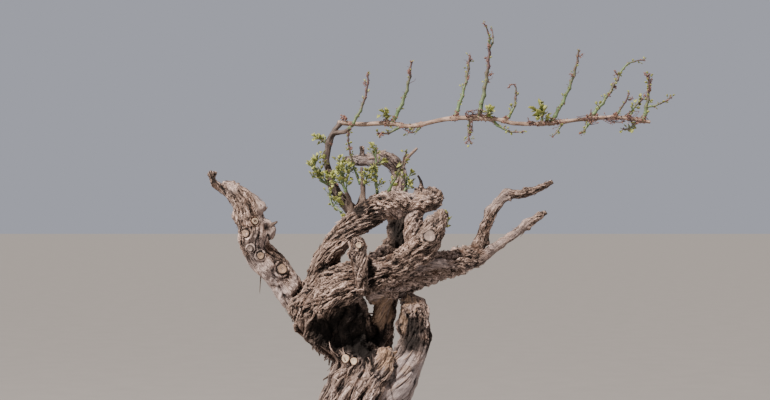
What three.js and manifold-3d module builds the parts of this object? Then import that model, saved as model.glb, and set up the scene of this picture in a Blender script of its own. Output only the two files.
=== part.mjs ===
// An old bush grapevine: a short fluted trunk, a swollen head, gnarled arms with pruning wounds, and
// one long cane that carries stunted spring shoots. Millimetres, +Z up. The origin is the middle of the
// flat cut at ground level, +X runs along the row of vines, and a viewer of the row stands on its -Y side.
import * as THREE from "three";
import { mergeVertices } from "three/addons/utils/BufferGeometryUtils.js";
import Module from "manifold-3d";

const wasm = await Module();
wasm.setup();

// Driving sizes.
const TRUNK_RADIUS = 72;
const HEAD_RADIUS = 68;
const HEAD_HEIGHT = 428;
const CANE_HEIGHT = 772;
const CANE_RADIUS = 4.2;
const RIB_COUNT = 16; // strips of bark round the trunk
const RIB_HEIGHT = 0.06; // as a share of the trunk's radius
const CLEAR = 0.3; // between solids that meet
const FINEST = 0.04; // detail smaller than this is merged away
const BELOW_GROUND = 30; // the trunk is swept from here and then cut flat at the ground
const LEAF_THICKNESS = 0.05; // as a share of the leaf's length
const LEAF_WIDTH = 0.62; // as a share of the leaf's length
const TWIG_SIDES = 3;
const GOLDEN_TURN = 2.39996; // radians between one leaf or twig and the next round its stem

// Limbs. Each is a line of stations with a girth, a radius, at each. Flutes are the strands of the wood
// that wind round the limb. A knot is [at, turn, rise, spread]: its place along the limb from 0 to 1, its
// turn in degrees from the viewer's side, how far it stands out and how wide it is. A cut is the stub of
// a pruned spur: [at, turn, radius, stand]. Ribs are the heavy strips of the bark, whose height is a share
// of the girth; a limb that has them has two sides for each.
const PLAIN_FLUTES = { count: 3, depth: 0.07, wind: 2.2, phase: 0.4 };

const limbs = {
  trunk: {
    upright: true,
    line: [
      [0, 0, -BELOW_GROUND],
      [2, 0, 32],
      [8, 0, 110],
      [15, 0, 195],
      [22, 0, 268],
      [27, 2, 310],
      [24, 8, 342],
      [-5, 8, 370],
      [-27, 4, 398],
      [-36, 0, HEAD_HEIGHT],
      [-40, -2, 458],
      [-42, -3, 484],
      [-44, -4, 502],
    ],
    girth: [
      1.5 * TRUNK_RADIUS,
      1.2 * TRUNK_RADIUS,
      1.02 * TRUNK_RADIUS,
      0.96 * TRUNK_RADIUS,
      TRUNK_RADIUS,
      0.9 * TRUNK_RADIUS,
      0.76 * TRUNK_RADIUS,
      0.93 * HEAD_RADIUS,
      1.02 * HEAD_RADIUS,
      HEAD_RADIUS,
      0.86 * HEAD_RADIUS,
      0.62 * HEAD_RADIUS,
      0.35 * HEAD_RADIUS,
    ],
    sides: 2 * RIB_COUNT,
    step: 28,
    flutes: { count: 4, depth: 0.09, wind: 1.6, phase: 2.1, foot: 0.14 },
    ribs: { count: RIB_COUNT, height: RIB_HEIGHT, wind: 3.6 },
    knots: [
      [0.72, 200, 16, 34],
      [0.62, 130, 14, 30],
      [0.8, -75, 10, 26],
      [0.44, -60, 9, 22],
      [0.86, 160, 18, 26],
      [0.66, -20, -28, 32],
      [0.68, 22, -26, 32],
      [0.6, 12, -16, 26],
      [0.46, 0, 6, 18],
    ],
    cuts: [
      [0.523, -30, 7.5, 6],
      [0.511, -18, 6.5, 6],
    ],
  },
  // The second stem that carries the right-hand arms.
  middle_stem: {
    line: [
      [40, 4, 350],
      [54, 4, 400],
      [59, 0, 445],
      [66, -8, 478],
    ],
    girth: [30, 22, 20, 21],
    sides: 10,
    step: 20,
    knots: [[0.45, -30, 6, 14]],
  },
  // The thick broken stub that rises beside the trunk.
  side_stub: {
    line: [
      [62, -14, 262],
      [92, -27, 322],
      [110, -32, 366],
      [112, -31, 408],
      [108, -29, 438],
      [99, -29, 458],
    ],
    girth: [34, 31, 28, 26, 23, 14],
    sides: 11,
    step: 19,
    flutes: { count: 3, depth: 0.1, wind: 1.8, phase: 0.2 },
    knots: [
      [0.86, 80, 5, 12],
      [0.62, -90, 6, 14],
      [0.5, 95, 5, 9],
    ],
  },
  cleft_stub: {
    line: [
      [52, -40, 318],
      [57, -54, 342],
      [59, -56, 366],
    ],
    girth: [20, 19, 15],
    sides: 9,
    step: 14,
  },
  left_arm: {
    line: [
      [-48, 24, 418],
      [-95, 24, 449],
      [-139, 15, 503],
      [-173, 2, 543],
      [-180, -8, 584],
      [-194, -10, 625],
      [-217, -8, 651],
      [-229, -7, 663],
    ],
    girth: [32, 28, 28, 29, 26, 23, 15, 8],
    sides: 12,
    step: 16,
    flutes: { count: 2, depth: 0.06, wind: 1.2, phase: 0.9 },
    knots: [
      [0.545, 86, 17, 14],
      [0.66, 84, 11, 10],
      [0.66, -84, 9, 8],
      [0.83, 20, 6, 11],
      [0.9, 60, 5, 9],
    ],
    cuts: [
      [0.285, 28, 10.5, 2],
      [0.41, 6, 7.5, 2.5],
      [0.468, -11, 6, 2],
      [0.554, -22, 8, 2],
      [0.605, 21, 6.5, 3],
    ],
  },
  left_spur: {
    line: [
      [-220, -8, 645],
      [-239, -9, 655],
      [-250, -9, 668],
      [-252, -9, 681],
    ],
    girth: [10, 6.5, 5.5, 5],
    sides: 7,
    step: 10,
    knots: [
      [0.93, -90, 5, 5],
      [0.97, 90, 6, 5],
      [0.5, -90, 3, 5],
    ],
  },
  arch_rise: {
    line: [
      [-60, -6, 476],
      [-45, -13, 526],
      [-22, -18, 560],
      [4, -22, 588],
      [33, -25, 610],
    ],
    girth: [30, 22, 20, 22, 25],
    sides: 11,
    step: 18,
    flutes: { count: 3, depth: 0.08, wind: 2.0, phase: 1.4 },
    knots: [[0.55, 120, 6, 14]],
  },
  arch_top: {
    line: [
      [25, -24, 604],
      [50, -25, 621],
      [79, -28, 627],
      [111, -30, 624],
      [139, -32, 631],
      [159, -32, 641],
    ],
    girth: [25, 25, 22.5, 18.5, 20, 12],
    sides: 11,
    step: 16,
    flutes: { count: 3, depth: 0.09, wind: 1.5, phase: 2.4 },
    knots: [
      [0.66, -100, 9, 9],
      [0.9, -70, 7, 9],
      [0.86, 80, 6, 11],
      [0.42, 92, 6, 12],
    ],
  },
  arch_peg: {
    line: [
      [126, -31, 636],
      [124, -31, 662],
      [118, -31, 676],
    ],
    girth: [5.5, 3.4, 2.4],
    sides: 6,
    step: 12,
  },
  // The big scarred arm that comes towards the viewer.
  front_arm: {
    line: [
      [-52, -20, 448],
      [-12, -42, 480],
      [33, -52, 497],
      [79, -58, 515],
      [110, -60, 540],
      [137, -60, 565],
      [153, -58, 592],
      [163, -56, 613],
    ],
    girth: [44, 38, 28, 23, 23, 22, 17, 8],
    sides: 13,
    step: 17,
    flutes: { count: 3, depth: 0.08, wind: 2.6, phase: 0 },
    knots: [
      [0.3, -60, 8, 16],
      [0.62, 75, 8, 13],
      [0.84, -85, 6, 10],
    ],
    cuts: [[0.725, -3, 12, 2]],
  },
  front_stub: {
    line: [
      [20, -66, 470],
      [17, -83, 514],
      [14, -89, 546],
      [10, -90, 565],
    ],
    girth: [17, 14.5, 14, 10],
    sides: 9,
    step: 14,
    flutes: { count: 3, depth: 0.1, wind: 1.5, phase: 1 },
    knots: [[0.62, -85, 8, 9]],
    cuts: [[0.79, 4, 6, 2]],
  },
  // Joins the front arm to the underside of the arch.
  bridge_arm: {
    line: [
      [118, -46, 540],
      [112, -42, 566],
      [110, -36, 592],
      [116, -32, 612],
    ],
    girth: [17, 17, 16, 15],
    sides: 9,
    step: 18,
  },
  right_arm: {
    line: [
      [30, -14, 470],
      [77, -15, 483],
      [122, -12, 501],
      [150, -10, 511],
      [178, -7, 517],
      [204, -4, 525],
      [228, 0, 535],
    ],
    girth: [25, 26, 25, 25, 21.5, 22, 16],
    sides: 11,
    step: 19,
    flutes: { count: 3, depth: 0.06, wind: 1.7, phase: 3 },
    knots: [
      [0.56, -70, 7, 10],
      [0.36, 30, 6, 12],
      [0.9, -80, 4, 10],
      [0.78, 75, 4, 10],
    ],
  },
  right_upper_spur: {
    line: [
      [221, -1, 535],
      [234, 6, 563],
      [245, 10, 592],
      [261, 12, 622],
      [281, 12, 641],
      [305, 10, 643],
      [331, 8, 650],
      [360, 5, 664],
    ],
    girth: [15, 10.5, 9.5, 9, 9.5, 7.5, 6.5, 4.2],
    sides: 7,
    step: 16,
    knots: [
      [0.36, -90, 6, 7],
      [0.57, -90, 4, 8],
      [0.8, -90, 3, 6],
      [0.14, 90, 4, 7],
    ],
  },
  right_lower_spur: {
    line: [
      [219, -6, 523],
      [242, -12, 535],
      [265, -20, 554],
      [290, -26, 571],
      [316, -30, 591],
      [345, -32, 609],
    ],
    girth: [13, 9.5, 8.3, 7.4, 7.8, 4.4],
    sides: 7,
    step: 16,
    knots: [
      [0.78, -80, 3, 6],
      [0.4, 60, 2.5, 6],
    ],
  },
  back_arm: {
    line: [
      [-16, 26, 470],
      [22, 52, 498],
      [58, 73, 520],
      [85, 88, 551],
      [86, 95, 602],
      [86, 100, 650],
      [85, 100, 682],
      [77, 96, 700],
    ],
    girth: [30, 28, 24, 23, 21, 15, 13.5, 13.5],
    sides: 10,
    step: 19,
    flutes: { count: 3, depth: 0.08, wind: 1.4, phase: 1 },
    knots: [
      [0.38, 180, 8, 14],
      [0.6, 150, 6, 12],
      [0.66, -120, 5, 11],
    ],
  },
  back_arm_top: {
    line: [
      [83, 98, 695],
      [59, 90, 710],
      [35, 80, 707],
      [9, 68, 703],
      [-13, 58, 706],
    ],
    girth: [14, 13.5, 12, 9.5, 7],
    sides: 8,
    step: 14,
    knots: [
      [0.75, 0, 3, 8],
      [0.3, 170, 5, 8],
    ],
  },
  back_peg: {
    line: [
      [18, 71, 704],
      [17, 70, 719],
      [16, 69, 729],
    ],
    girth: [5.5, 4.4, 4],
    sides: 6,
    step: 10,
  },
  back_twig: {
    line: [
      [88, 99, 690],
      [102, 98, 711],
      [119, 96, 728],
    ],
    girth: [6, 4, 2.4],
    sides: 6,
    step: 12,
  },
  // Two old spurs on the shoulder of the arch, among the leafy shoots.
  arch_spur: {
    line: [
      [9, -24, 606],
      [17, -27, 628],
      [20, -28, 652],
      [17, -28, 690],
    ],
    girth: [10, 7, 4.6, 2.8],
    sides: 7,
    step: 12,
    knots: [[0.4, 90, 3, 6]],
  },
  arch_small_spur: {
    line: [
      [0, -26, 606],
      [-3, -32, 627],
      [-10, -35, 646],
    ],
    girth: [7, 5, 3.8],
    sides: 6,
    step: 12,
  },
  cane_arm: {
    line: [
      [4, -20, 608],
      [-13, -16, 630],
      [-29, -14, 649],
      [-40, -12, 676],
      [-45, -10, 708],
      [-41, -8, 736],
      [-31, -7, 757],
      [-20, -6, CANE_HEIGHT],
    ],
    girth: [13, 11, 9, 7.4, 6.2, 6, 6, 5.4],
    sides: 8,
    step: 17,
    knots: [
      [0.6, -90, 4, 5],
      [0.42, 90, 3, 5],
      [0.85, 100, 2, 6],
    ],
  },
  cane_side_spur: {
    line: [
      [-33, -8, 752],
      [-14, -15, 754],
      [-4, -18, 760],
    ],
    girth: [5.5, 4.2, 3.4],
    sides: 6,
    step: 12,
  },
  cane: {
    line: [
      [-24, -6, CANE_HEIGHT - 1],
      [20, -5, CANE_HEIGHT - 4],
      [65, -3, CANE_HEIGHT - 2],
      [108, 0, CANE_HEIGHT - 7],
      [180, 3, CANE_HEIGHT + 7],
      [256, 5, CANE_HEIGHT + 6],
      [296, 7, CANE_HEIGHT - 2],
      [360, 6, CANE_HEIGHT - 1],
      [430, 3, CANE_HEIGHT + 7],
      [488, 0, CANE_HEIGHT + 8],
      [536, -2, CANE_HEIGHT],
    ],
    girth: [1.2, 1.1, 1.08, 1.05, 1.1, 1, 1, 0.95, 0.95, 0.95, 0.8].map((share) => share * CANE_RADIUS),
    sides: 6,
    step: 24,
  },
};

// Shoots and leafy tufts. Each grows from a root point inside its limb: reach runs from there to its tip,
// and bow is how far its middle stands off that line. Twigs and leaves branch from it by the seeded rule
// in growSpray. A fork is a side shoot, at its place along the stem from 0 to 1.
const sprays = {
  shoot_first: {
    root: [-6, -18, 759], reach: [35, -9, 98], bow: [9, 0, -3],
    girth: 2.6, leaves: 6, leaf: 6, seed: 11,
  },
  shoot_second: {
    root: [71, -3, 770], reach: [35, -14, 110], bow: [8, 0, -2],
    girth: 3.1, leaves: 7, leaf: 6, seed: 12,
  },
  shoot_third: {
    root: [184, 3, 779], reach: [28, 13, 114], bow: [6, 0, 4],
    girth: 2.9, leaves: 8, leaf: 7, seed: 13,
  },
  shoot_tall: {
    root: [227, 4, 779],
    reach: [20, -10, 136],
    bow: [5, 0, 4],
    girth: 3.5,
    leaves: 8,
    leaf: 6,
    seed: 14,
    forks: [
      { at: 0.93, reach: [-11, -8, 42], bow: [4, 0, 3], girth: 1.8, leaves: 4, leaf: 6 },
      { at: 0.9, reach: [4, 10, 38], bow: [5, 0, 0], girth: 1.6, leaves: 1, leaf: 5 },
    ],
  },
  shoot_hooked: {
    root: [273, 6, 775], reach: [23, 14, 54], bow: [7, 0, -5],
    girth: 2.6, leaves: 7, leaf: 7, seed: 17,
  },
  shoot_sixth: {
    root: [358, 6, 771], reach: [49, -16, 130], bow: [10, 0, 2],
    girth: 3, leaves: 8, leaf: 7, seed: 18,
  },
  shoot_seventh: {
    root: [427, 3, 779],
    reach: [58, 17, 82],
    bow: [3, 0, -3],
    girth: 3.2,
    leaves: 12,
    leaf: 8,
    seed: 19,
    forks: [{ at: 0.985, reach: [45, 8, 26], bow: [-5, 0, 7], girth: 1.8, leaves: 5, leaf: 7 }],
  },
  shoot_short: {
    root: [470, 1, 780], reach: [27, -15, 42], bow: [1, 0, -3],
    girth: 2, leaves: 5, leaf: 6, seed: 21,
  },
  shoot_leafy: {
    root: [497, 0, 778], reach: [29, 16, 36], bow: [-2, 0, 3],
    girth: 2.4, leaves: 9, leaf: 9, seed: 22,
  },
  shoot_last: {
    root: [523, -2, 774],
    reach: [10, -8, 84],
    bow: [4, 0, 0],
    girth: 3,
    leaves: 13,
    leaf: 8,
    seed: 23,
    forks: [{ at: 0.3, reach: [43, -10, 17], bow: [2, 0, -3], girth: 1.8, leaves: 6, leaf: 7 }],
  },
  low_shoot_first: {
    root: [88, -2, 766], reach: [-42, -16, -14], bow: [0, 0, -6],
    girth: 2.3, leaves: 6, leaf: 8, seed: 31,
  },
  low_shoot_second: {
    root: [122, 1, 767], reach: [-20, -12, -14], bow: [6, 0, -3],
    girth: 1.9, leaves: 5, leaf: 10, seed: 32,
  },
  low_shoot_third: {
    root: [216, 4, 778], reach: [-2, -13, -44], bow: [-6, 0, 0],
    girth: 1.9, leaves: 6, leaf: 7, seed: 33,
  },
  low_shoot_fourth: {
    root: [252, 5, 778], reach: [55, -15, -23], bow: [-2, 0, -9],
    girth: 2.3, leaves: 7, leaf: 7, seed: 34,
  },
  low_shoot_fifth: {
    root: [381, 5, 772], reach: [-21, -14, -27], bow: [3, 0, 3],
    girth: 2, leaves: 4, leaf: 7, seed: 35,
  },
  low_shoot_sixth: {
    root: [434, 3, 778], reach: [-24, -18, -27], bow: [-4, 0, -6],
    girth: 2.2, leaves: 6, leaf: 7, seed: 36,
  },
  low_shoot_end: {
    root: [516, -1, 776], reach: [-26, 12, -16], bow: [2, 0, -4],
    girth: 2.1, leaves: 8, leaf: 9, seed: 37,
  },
  leaf_cluster_first: {
    root: [62, -3, 769], reach: [-2, -6, 20], bow: [0, 0, 0],
    girth: 1.7, leaves: 6, leaf: 11, seed: 41,
  },
  leaf_cluster_second: {
    root: [240, 5, 778], reach: [7, -16, 11], bow: [0, 0, 2],
    girth: 1.8, leaves: 6, leaf: 12, seed: 42,
  },
  leaf_cluster_third: {
    root: [342, 6, 770], reach: [-5, -8, 22], bow: [2, 0, 0],
    girth: 1.9, leaves: 6, leaf: 17, seed: 43,
  },
  arm_leaf_cluster: {
    root: [-43, -9, 734], reach: [-16, -8, 8], bow: [0, 0, -2],
    girth: 1.8, leaves: 6, leaf: 11, seed: 44,
  },
  upper_left_tuft: {
    root: [-33, -14, 657],
    reach: [-34, -18, 44],
    bow: [-7, 0, -8],
    girth: 2.8,
    twigs: 7,
    twigLength: 24,
    leaves: 4,
    leaf: 12,
    seed: 51,
  },
  lower_left_tuft: {
    root: [-34, -14, 655],
    reach: [18, -28, -44],
    bow: [-12, 0, -4],
    girth: 2.2,
    twigs: 4,
    twigLength: 12,
    leaves: 3,
    leaf: 12,
    seed: 52,
  },
  middle_tuft: {
    root: [-5, -33, 634],
    reach: [-8, -10, 52],
    bow: [-6, 0, 2],
    girth: 2.6,
    twigs: 8,
    twigLength: 26,
    leaves: 4,
    leaf: 13,
    seed: 53,
  },
  spur_tuft: {
    root: [18, -28, 652],
    reach: [10, -13, 24],
    bow: [2, 0, 2],
    girth: 2,
    twigs: 4,
    twigLength: 14,
    leaves: 3,
    leaf: 11,
    seed: 54,
  },
  upright_tuft: {
    root: [46, -24, 634],
    reach: [-2, -13, 92],
    bow: [-2, 0, 0],
    girth: 2.3,
    twigs: 6,
    twigLength: 12,
    leaves: 3,
    leaf: 11,
    seed: 55,
  },
  leaning_shoot: {
    root: [60, -26, 640], reach: [38, -18, 78], bow: [2, 0, -2],
    girth: 2.4, leaves: 8, leaf: 10, seed: 56,
  },
  slender_shoot: {
    root: [15, -27, 660], reach: [-21, -26, 92], bow: [-6, 0, 6],
    girth: 1.9, leaves: 9, leaf: 6, seed: 57,
  },
  back_tuft: {
    root: [88, -24, 640],
    reach: [10, 12, 34],
    bow: [4, 0, 0],
    girth: 2,
    twigs: 4,
    twigLength: 15,
    leaves: 3,
    leaf: 11,
    seed: 58,
  },
  knuckle_shoot: {
    root: [156, -58, 578], reach: [12, -6, 34], bow: [8, 0, -3],
    girth: 1.6, leaves: 7, leaf: 8, seed: 59,
  },
};

const UP = new THREE.Vector3(0, 0, 1);
const VIEWER = new THREE.Vector3(0, -1, 0);
const vector = (list) => new THREE.Vector3(...list);

function seeded(seed) {
  let state = seed * 7919;
  return () => {
    state = (state * 16807) % 2147483647;
    return state / 2147483647;
  };
}

// A geometry with no seams as a solid.
function solidOf(geometry) {
  geometry.deleteAttribute("normal");
  geometry.deleteAttribute("uv");
  const merged = mergeVertices(geometry, 1e-4);
  const vertProperties = merged.attributes.position.array;
  const triVerts = new Uint32Array(merged.index.array);
  return new wasm.Manifold(new wasm.Mesh({ numProp: 3, vertProperties, triVerts }));
}

function geometryOf(solid) {
  const { vertProperties, triVerts } = solid.getMesh();
  return new THREE.BufferGeometry()
    .setAttribute("position", new THREE.BufferAttribute(vertProperties, 3))
    .setIndex(new THREE.BufferAttribute(triVerts, 1));
}

// The largest body of a solid that a cut may have split.
function largest(solid) {
  return solid.decompose().reduce((best, body) => (body.volume() > best.volume() ? body : best));
}

// The middle line of a limb, with its girth and the two directions across it at any place from 0 to 1.
function railOf(limb) {
  const through = (points) => new THREE.CatmullRomCurve3(points, false, "catmullrom", 0.5);
  const line = through(limb.line.map(vector));
  const girth = through(limb.girth.map((r) => vector([r, 0, 0])));
  const length = line.getLength();
  const at = (share) => {
    const middle = line.getPoint(share);
    const along = limb.upright ? UP.clone() : line.getTangent(share);
    const front = VIEWER.clone().addScaledVector(along, -VIEWER.dot(along)).normalize();
    const side = along.clone().cross(front);
    return { middle, along, front, side, radius: girth.getPoint(share).x };
  };
  return { at, length };
}

// How far a rib strays round the limb as it winds up it, in radians of its own wave.
function ribStray(turn, share) {
  return 1.3 * Math.sin(2 * turn + 5 * share) + 0.8 * Math.sin(5 * turn - 11 * share);
}

// The height of the bark's ribs over the girth: each one swells and fades as it winds.
function ribRise(ribs, share, angle) {
  const turn = angle - ribs.wind * share;
  const wave = Math.cos(ribs.count * turn + ribStray(turn, share));
  return ribs.height * (0.65 + 0.35 * Math.sin(3 * turn + 19 * share)) * wave;
}

// The angle at which a rib or the furrow beside it passes, for one side of a ribbed limb.
function ribAngle(ribs, share, angle) {
  let turn = angle;
  for (let i = 0; i < 8; i++) turn = angle - ribStray(turn, share) / ribs.count;
  return turn + ribs.wind * share;
}

// How far the limb's surface stands from its middle line, by flutes, ribs and knots.
function surfaceRadius(limb, rail, share, angle) {
  const flutes = limb.flutes ?? PLAIN_FLUTES;
  const { radius } = rail.at(share);
  const foot = (flutes.foot ?? 0) * Math.exp(-share / 0.12);
  const depth = flutes.depth + foot;
  const winding = angle - flutes.wind * share;
  const counter = angle + 0.5 * flutes.wind * share;
  const strands = Math.cos(flutes.count * winding + flutes.phase);
  const ripples = Math.cos((2 * flutes.count - 1) * counter + 1.7 * flutes.phase);
  let reach = radius * (1 + depth * (strands + 0.4 * ripples));
  if (limb.ribs) reach += radius * ribRise(limb.ribs, share, angle);
  for (const [at, turn, rise, spread] of limb.knots ?? []) {
    const away = angle - THREE.MathUtils.degToRad(turn);
    const round = radius * Math.atan2(Math.sin(away), Math.cos(away));
    const past = (share - at) * rail.length;
    reach += rise * Math.exp(-(round * round + past * past) / (spread * spread));
  }
  return reach;
}

// A capped cylinder bent along a rail, with place(share, angle, rim) giving each point of it.
function bentCylinder(sides, steps, place) {
  const geometry = new THREE.CylinderGeometry(1, 1, 1, sides, steps);
  const points = geometry.attributes.position;
  for (let i = 0; i < points.count; i++) {
    const [x, y, z] = [points.getX(i), points.getY(i), points.getZ(i)];
    const share = y + 0.5;
    const rim = Math.hypot(x, z) > 0.5 ? 1 : 0;
    const angle = Math.atan2(-z, x);
    const point = place(share, angle, rim);
    points.setXYZ(i, point.x, point.y, point.z);
  }
  return solidOf(geometry);
}

// A pruned spur's stub, as a short cylinder that stands out of the limb's surface.
function pruningStub(limb, rail, [at, turn, radius, stand], grow) {
  const angle = THREE.MathUtils.degToRad(turn);
  const { middle, front, side } = rail.at(at);
  const out = front.clone().multiplyScalar(Math.cos(angle)).addScaledVector(side, Math.sin(angle));
  const inner = 0.5 * surfaceRadius(limb, rail, at, angle);
  const outer = surfaceRadius(limb, rail, at, angle) + stand + grow;
  const geometry = new THREE.CylinderGeometry(radius + grow, 1.25 * radius + grow, outer - inner, 10);
  const turned = new THREE.Quaternion().setFromUnitVectors(new THREE.Vector3(0, 1, 0), out);
  geometry.applyQuaternion(turned);
  const centre = middle.addScaledVector(out, (inner + outer) / 2);
  geometry.translate(centre.x, centre.y, centre.z);
  return solidOf(geometry);
}

// A limb as one solid, its skin moved outwards by grow.
function limbSolid(limb, grow = 0) {
  const rail = railOf(limb);
  const steps = Math.max(3, Math.round(rail.length / limb.step));
  const ends = grow / rail.length;
  const body = bentCylinder(limb.sides, steps, (share, column, rim) => {
    const { middle, front, side, along } = rail.at(share);
    const angle = limb.ribs ? ribAngle(limb.ribs, share, column) : column;
    const reach = rim * (surfaceRadius(limb, rail, share, angle) + grow);
    return middle
      .addScaledVector(front, reach * Math.cos(angle))
      .addScaledVector(side, reach * Math.sin(angle))
      .addScaledVector(along, ends * rail.length * (2 * share - 1));
  });
  const stubs = (limb.cuts ?? []).map((cut) => pruningStub(limb, rail, cut, grow));
  return wasm.Manifold.union([body, ...stubs]);
}

// A thin stem that runs from its root to its tip and tapers.
function stemOf(root, reach, bow) {
  const tip = root.clone().add(reach);
  const middle = root.clone().addScaledVector(reach, 0.5).addScaledVector(bow, 2);
  return new THREE.QuadraticBezierCurve3(root, middle, tip);
}

function stemSolid(curve, girth, steps, grow) {
  return bentCylinder(TWIG_SIDES, steps, (share, angle, rim) => {
    const along = curve.getTangent(share);
    const front = VIEWER.clone().addScaledVector(along, -VIEWER.dot(along)).normalize();
    const side = along.clone().cross(front);
    const reach = rim * (girth * (1 - 0.5 * share) + 2 * grow);
    return curve
      .getPoint(share)
      .addScaledVector(front, reach * Math.cos(angle))
      .addScaledVector(side, reach * Math.sin(angle))
      .addScaledVector(along, grow * (2 * share - 1));
  });
}

// A direction that leaves a stem at a slant, turned round it by the given angle.
function slantFrom(along, turn, slant) {
  const front = VIEWER.clone().addScaledVector(along, -VIEWER.dot(along)).normalize();
  const side = along.clone().cross(front);
  const out = front.multiplyScalar(Math.cos(turn)).addScaledVector(side, Math.sin(turn));
  return along.clone().multiplyScalar(Math.cos(slant)).addScaledVector(out, Math.sin(slant));
}

// A leaf as a flat eight-faced blade whose root is sunk in its twig.
function leafSolid({ foot, out, length }, grow) {
  const geometry = new THREE.OctahedronGeometry(1);
  const width = new THREE.Vector3().crossVectors(out, UP).normalize();
  const face = new THREE.Vector3().crossVectors(out, width);
  const thickness = LEAF_THICKNESS * length;
  const basis = new THREE.Matrix4().makeBasis(
    out.clone().multiplyScalar(length / 2 + grow),
    width.multiplyScalar((LEAF_WIDTH * length) / 2 + grow),
    face.multiplyScalar(thickness / 2 + 2 * grow),
  );
  geometry.applyMatrix4(basis);
  const centre = foot.clone().addScaledVector(out, 0.5 * length);
  geometry.translate(centre.x, centre.y, centre.z);
  return solidOf(geometry);
}

// Points along every limb, each with the limb's radius there, which leaves keep clear of.
const LIMB_POINTS = Object.values(limbs).flatMap((limb) => {
  const rail = railOf(limb);
  const count = Math.ceil(rail.length / 8);
  return Array.from({ length: count + 1 }, (_, i) => rail.at(i / count));
});

function touchesLimb(point, room) {
  return LIMB_POINTS.some(({ middle, radius }) => middle.distanceTo(point) < 1.1 * radius + room);
}

// The seeded rule: where a spray's stem, twigs and leaves are.
function growSpray(spray) {
  const random = seeded(spray.seed);
  const curve = stemOf(vector(spray.root), vector(spray.reach), vector(spray.bow));
  const stems = [];
  const leaves = [];
  const addStem = (stem, girth) => {
    stems.push({ curve: stem, girth, steps: Math.max(2, Math.round(stem.getLength() / 20)) });
  };
  const addLeaves = (twig, count, leafLength, first, slantStart) => {
    for (let j = 0; j < count; j++) {
      const share = first + (1 - first) * ((j + 1) / count);
      const turn = GOLDEN_TURN * j + 2 * random();
      const slant = slantStart + 0.5 * random();
      const length = leafLength * (0.75 + 0.5 * random());
      const out = slantFrom(twig.getTangent(share), turn, slant).addScaledVector(UP, 0.25).normalize();
      const foot = twig.getPoint(share - 0.02);
      const tip = foot.clone().addScaledVector(out, length);
      if (!touchesLimb(tip, 1.5)) leaves.push({ foot, out, length });
    }
  };
  const twigs = spray.twigs ?? 0;
  addStem(curve, spray.girth);
  for (let i = 0; i < twigs; i++) {
    const share = 0.15 + (0.85 * (i + 0.5)) / twigs;
    const turn = GOLDEN_TURN * i + 1.5 * random();
    const slant = 0.8 + 0.4 * random();
    const length = spray.twigLength * (0.7 + 0.5 * random()) * (1 - 0.35 * share);
    const out = slantFrom(curve.getTangent(share), turn, slant).addScaledVector(UP, 0.3).normalize();
    const foot = curve.getPoint(share);
    const lift = new THREE.Vector3(0, 0, 0.06 * length);
    const twig = stemOf(foot, out.clone().multiplyScalar(length), lift);
    if (touchesLimb(twig.getPoint(1), 2) || touchesLimb(twig.getPoint(0.6), 1.5)) continue;
    addStem(twig, 0.6 * spray.girth);
    addLeaves(twig, spray.leaves, spray.leaf, 0.2, 0.6);
  }
  if (twigs === 0) addLeaves(curve, spray.leaves, spray.leaf, 0.12, 0.7);
  for (const { at, reach, bow, girth, leaves: count, leaf } of spray.forks ?? []) {
    const fork = stemOf(curve.getPoint(at), vector(reach), vector(bow));
    addStem(fork, girth);
    addLeaves(fork, count, leaf, 0.12, 0.7);
  }
  return { stems, leaves };
}

function spraySolid(spray, grow = 0) {
  const { stems, leaves } = growSpray(spray);
  return wasm.Manifold.union([
    ...stems.map(({ curve, girth, steps }) => stemSolid(curve, girth, steps, grow)),
    ...leaves.map((leaf) => leafSolid(leaf, grow)),
  ]);
}

const materials = {
  bark: new THREE.MeshStandardMaterial({ color: 0x8a7462, roughness: 0.95, metalness: 0 }),
  caneBark: new THREE.MeshStandardMaterial({ color: 0x93704f, roughness: 0.85, metalness: 0 }),
  greenShoot: new THREE.MeshStandardMaterial({ color: 0x8b9150, roughness: 0.7, metalness: 0 }),
};
const CANE_WOOD = ["cane", "cane_arm", "cane_side_spur", "arch_spur", "arch_small_spur", "back_twig"];

// Every piece is cut clear of the pieces made before it, wherever it comes close to them.
const made = [];

function near(a, b) {
  return a.min.every((low, i) => low < b.max[i] + 1 && b.min[i] < a.max[i] + 1);
}

function addPiece(group, name, build, material) {
  let solid = build(0);
  const box = solid.boundingBox();
  const close = made.filter((other) => near(box, other.box));
  if (close.length) solid = solid.subtract(wasm.Manifold.union(close.map((other) => other.grown)));
  solid = largest(solid).simplify(FINEST);
  made.push({ grown: build(CLEAR), box: solid.boundingBox() });
  const mesh = new THREE.Mesh(geometryOf(solid), material);
  mesh.name = name;
  group.add(mesh);
}

// Everything below the ground, which the trunk is cut by.
function groundBlock() {
  const size = 1000;
  const block = new THREE.BoxGeometry(size, size, size);
  block.translate(0, 0, -size / 2);
  return solidOf(block);
}

const grapevine = new THREE.Group();
grapevine.name = "grapevine";
for (const [name, limb] of Object.entries(limbs)) {
  const whole = (grow) => limbSolid(limb, grow);
  const build = limb.upright ? (grow) => whole(grow).subtract(groundBlock()) : whole;
  addPiece(grapevine, name, build, CANE_WOOD.includes(name) ? materials.caneBark : materials.bark);
}
for (const [name, spray] of Object.entries(sprays)) {
  addPiece(grapevine, name, (grow) => spraySolid(spray, grow), materials.greenShoot);
}

export default grapevine;
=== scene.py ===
"""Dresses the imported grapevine: shaggy bark with its own relief, pruning wounds, broken wood, the cane with
its nodes, and shoots with leaves, tendrils and withered flower clusters. The tables' lengths are in mm."""

import math
import random

import bpy
import numpy as np
from bpy.props import FloatProperty, FloatVectorProperty, IntProperty, PointerProperty
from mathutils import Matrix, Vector
from mathutils.bvhtree import BVHTree


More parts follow.
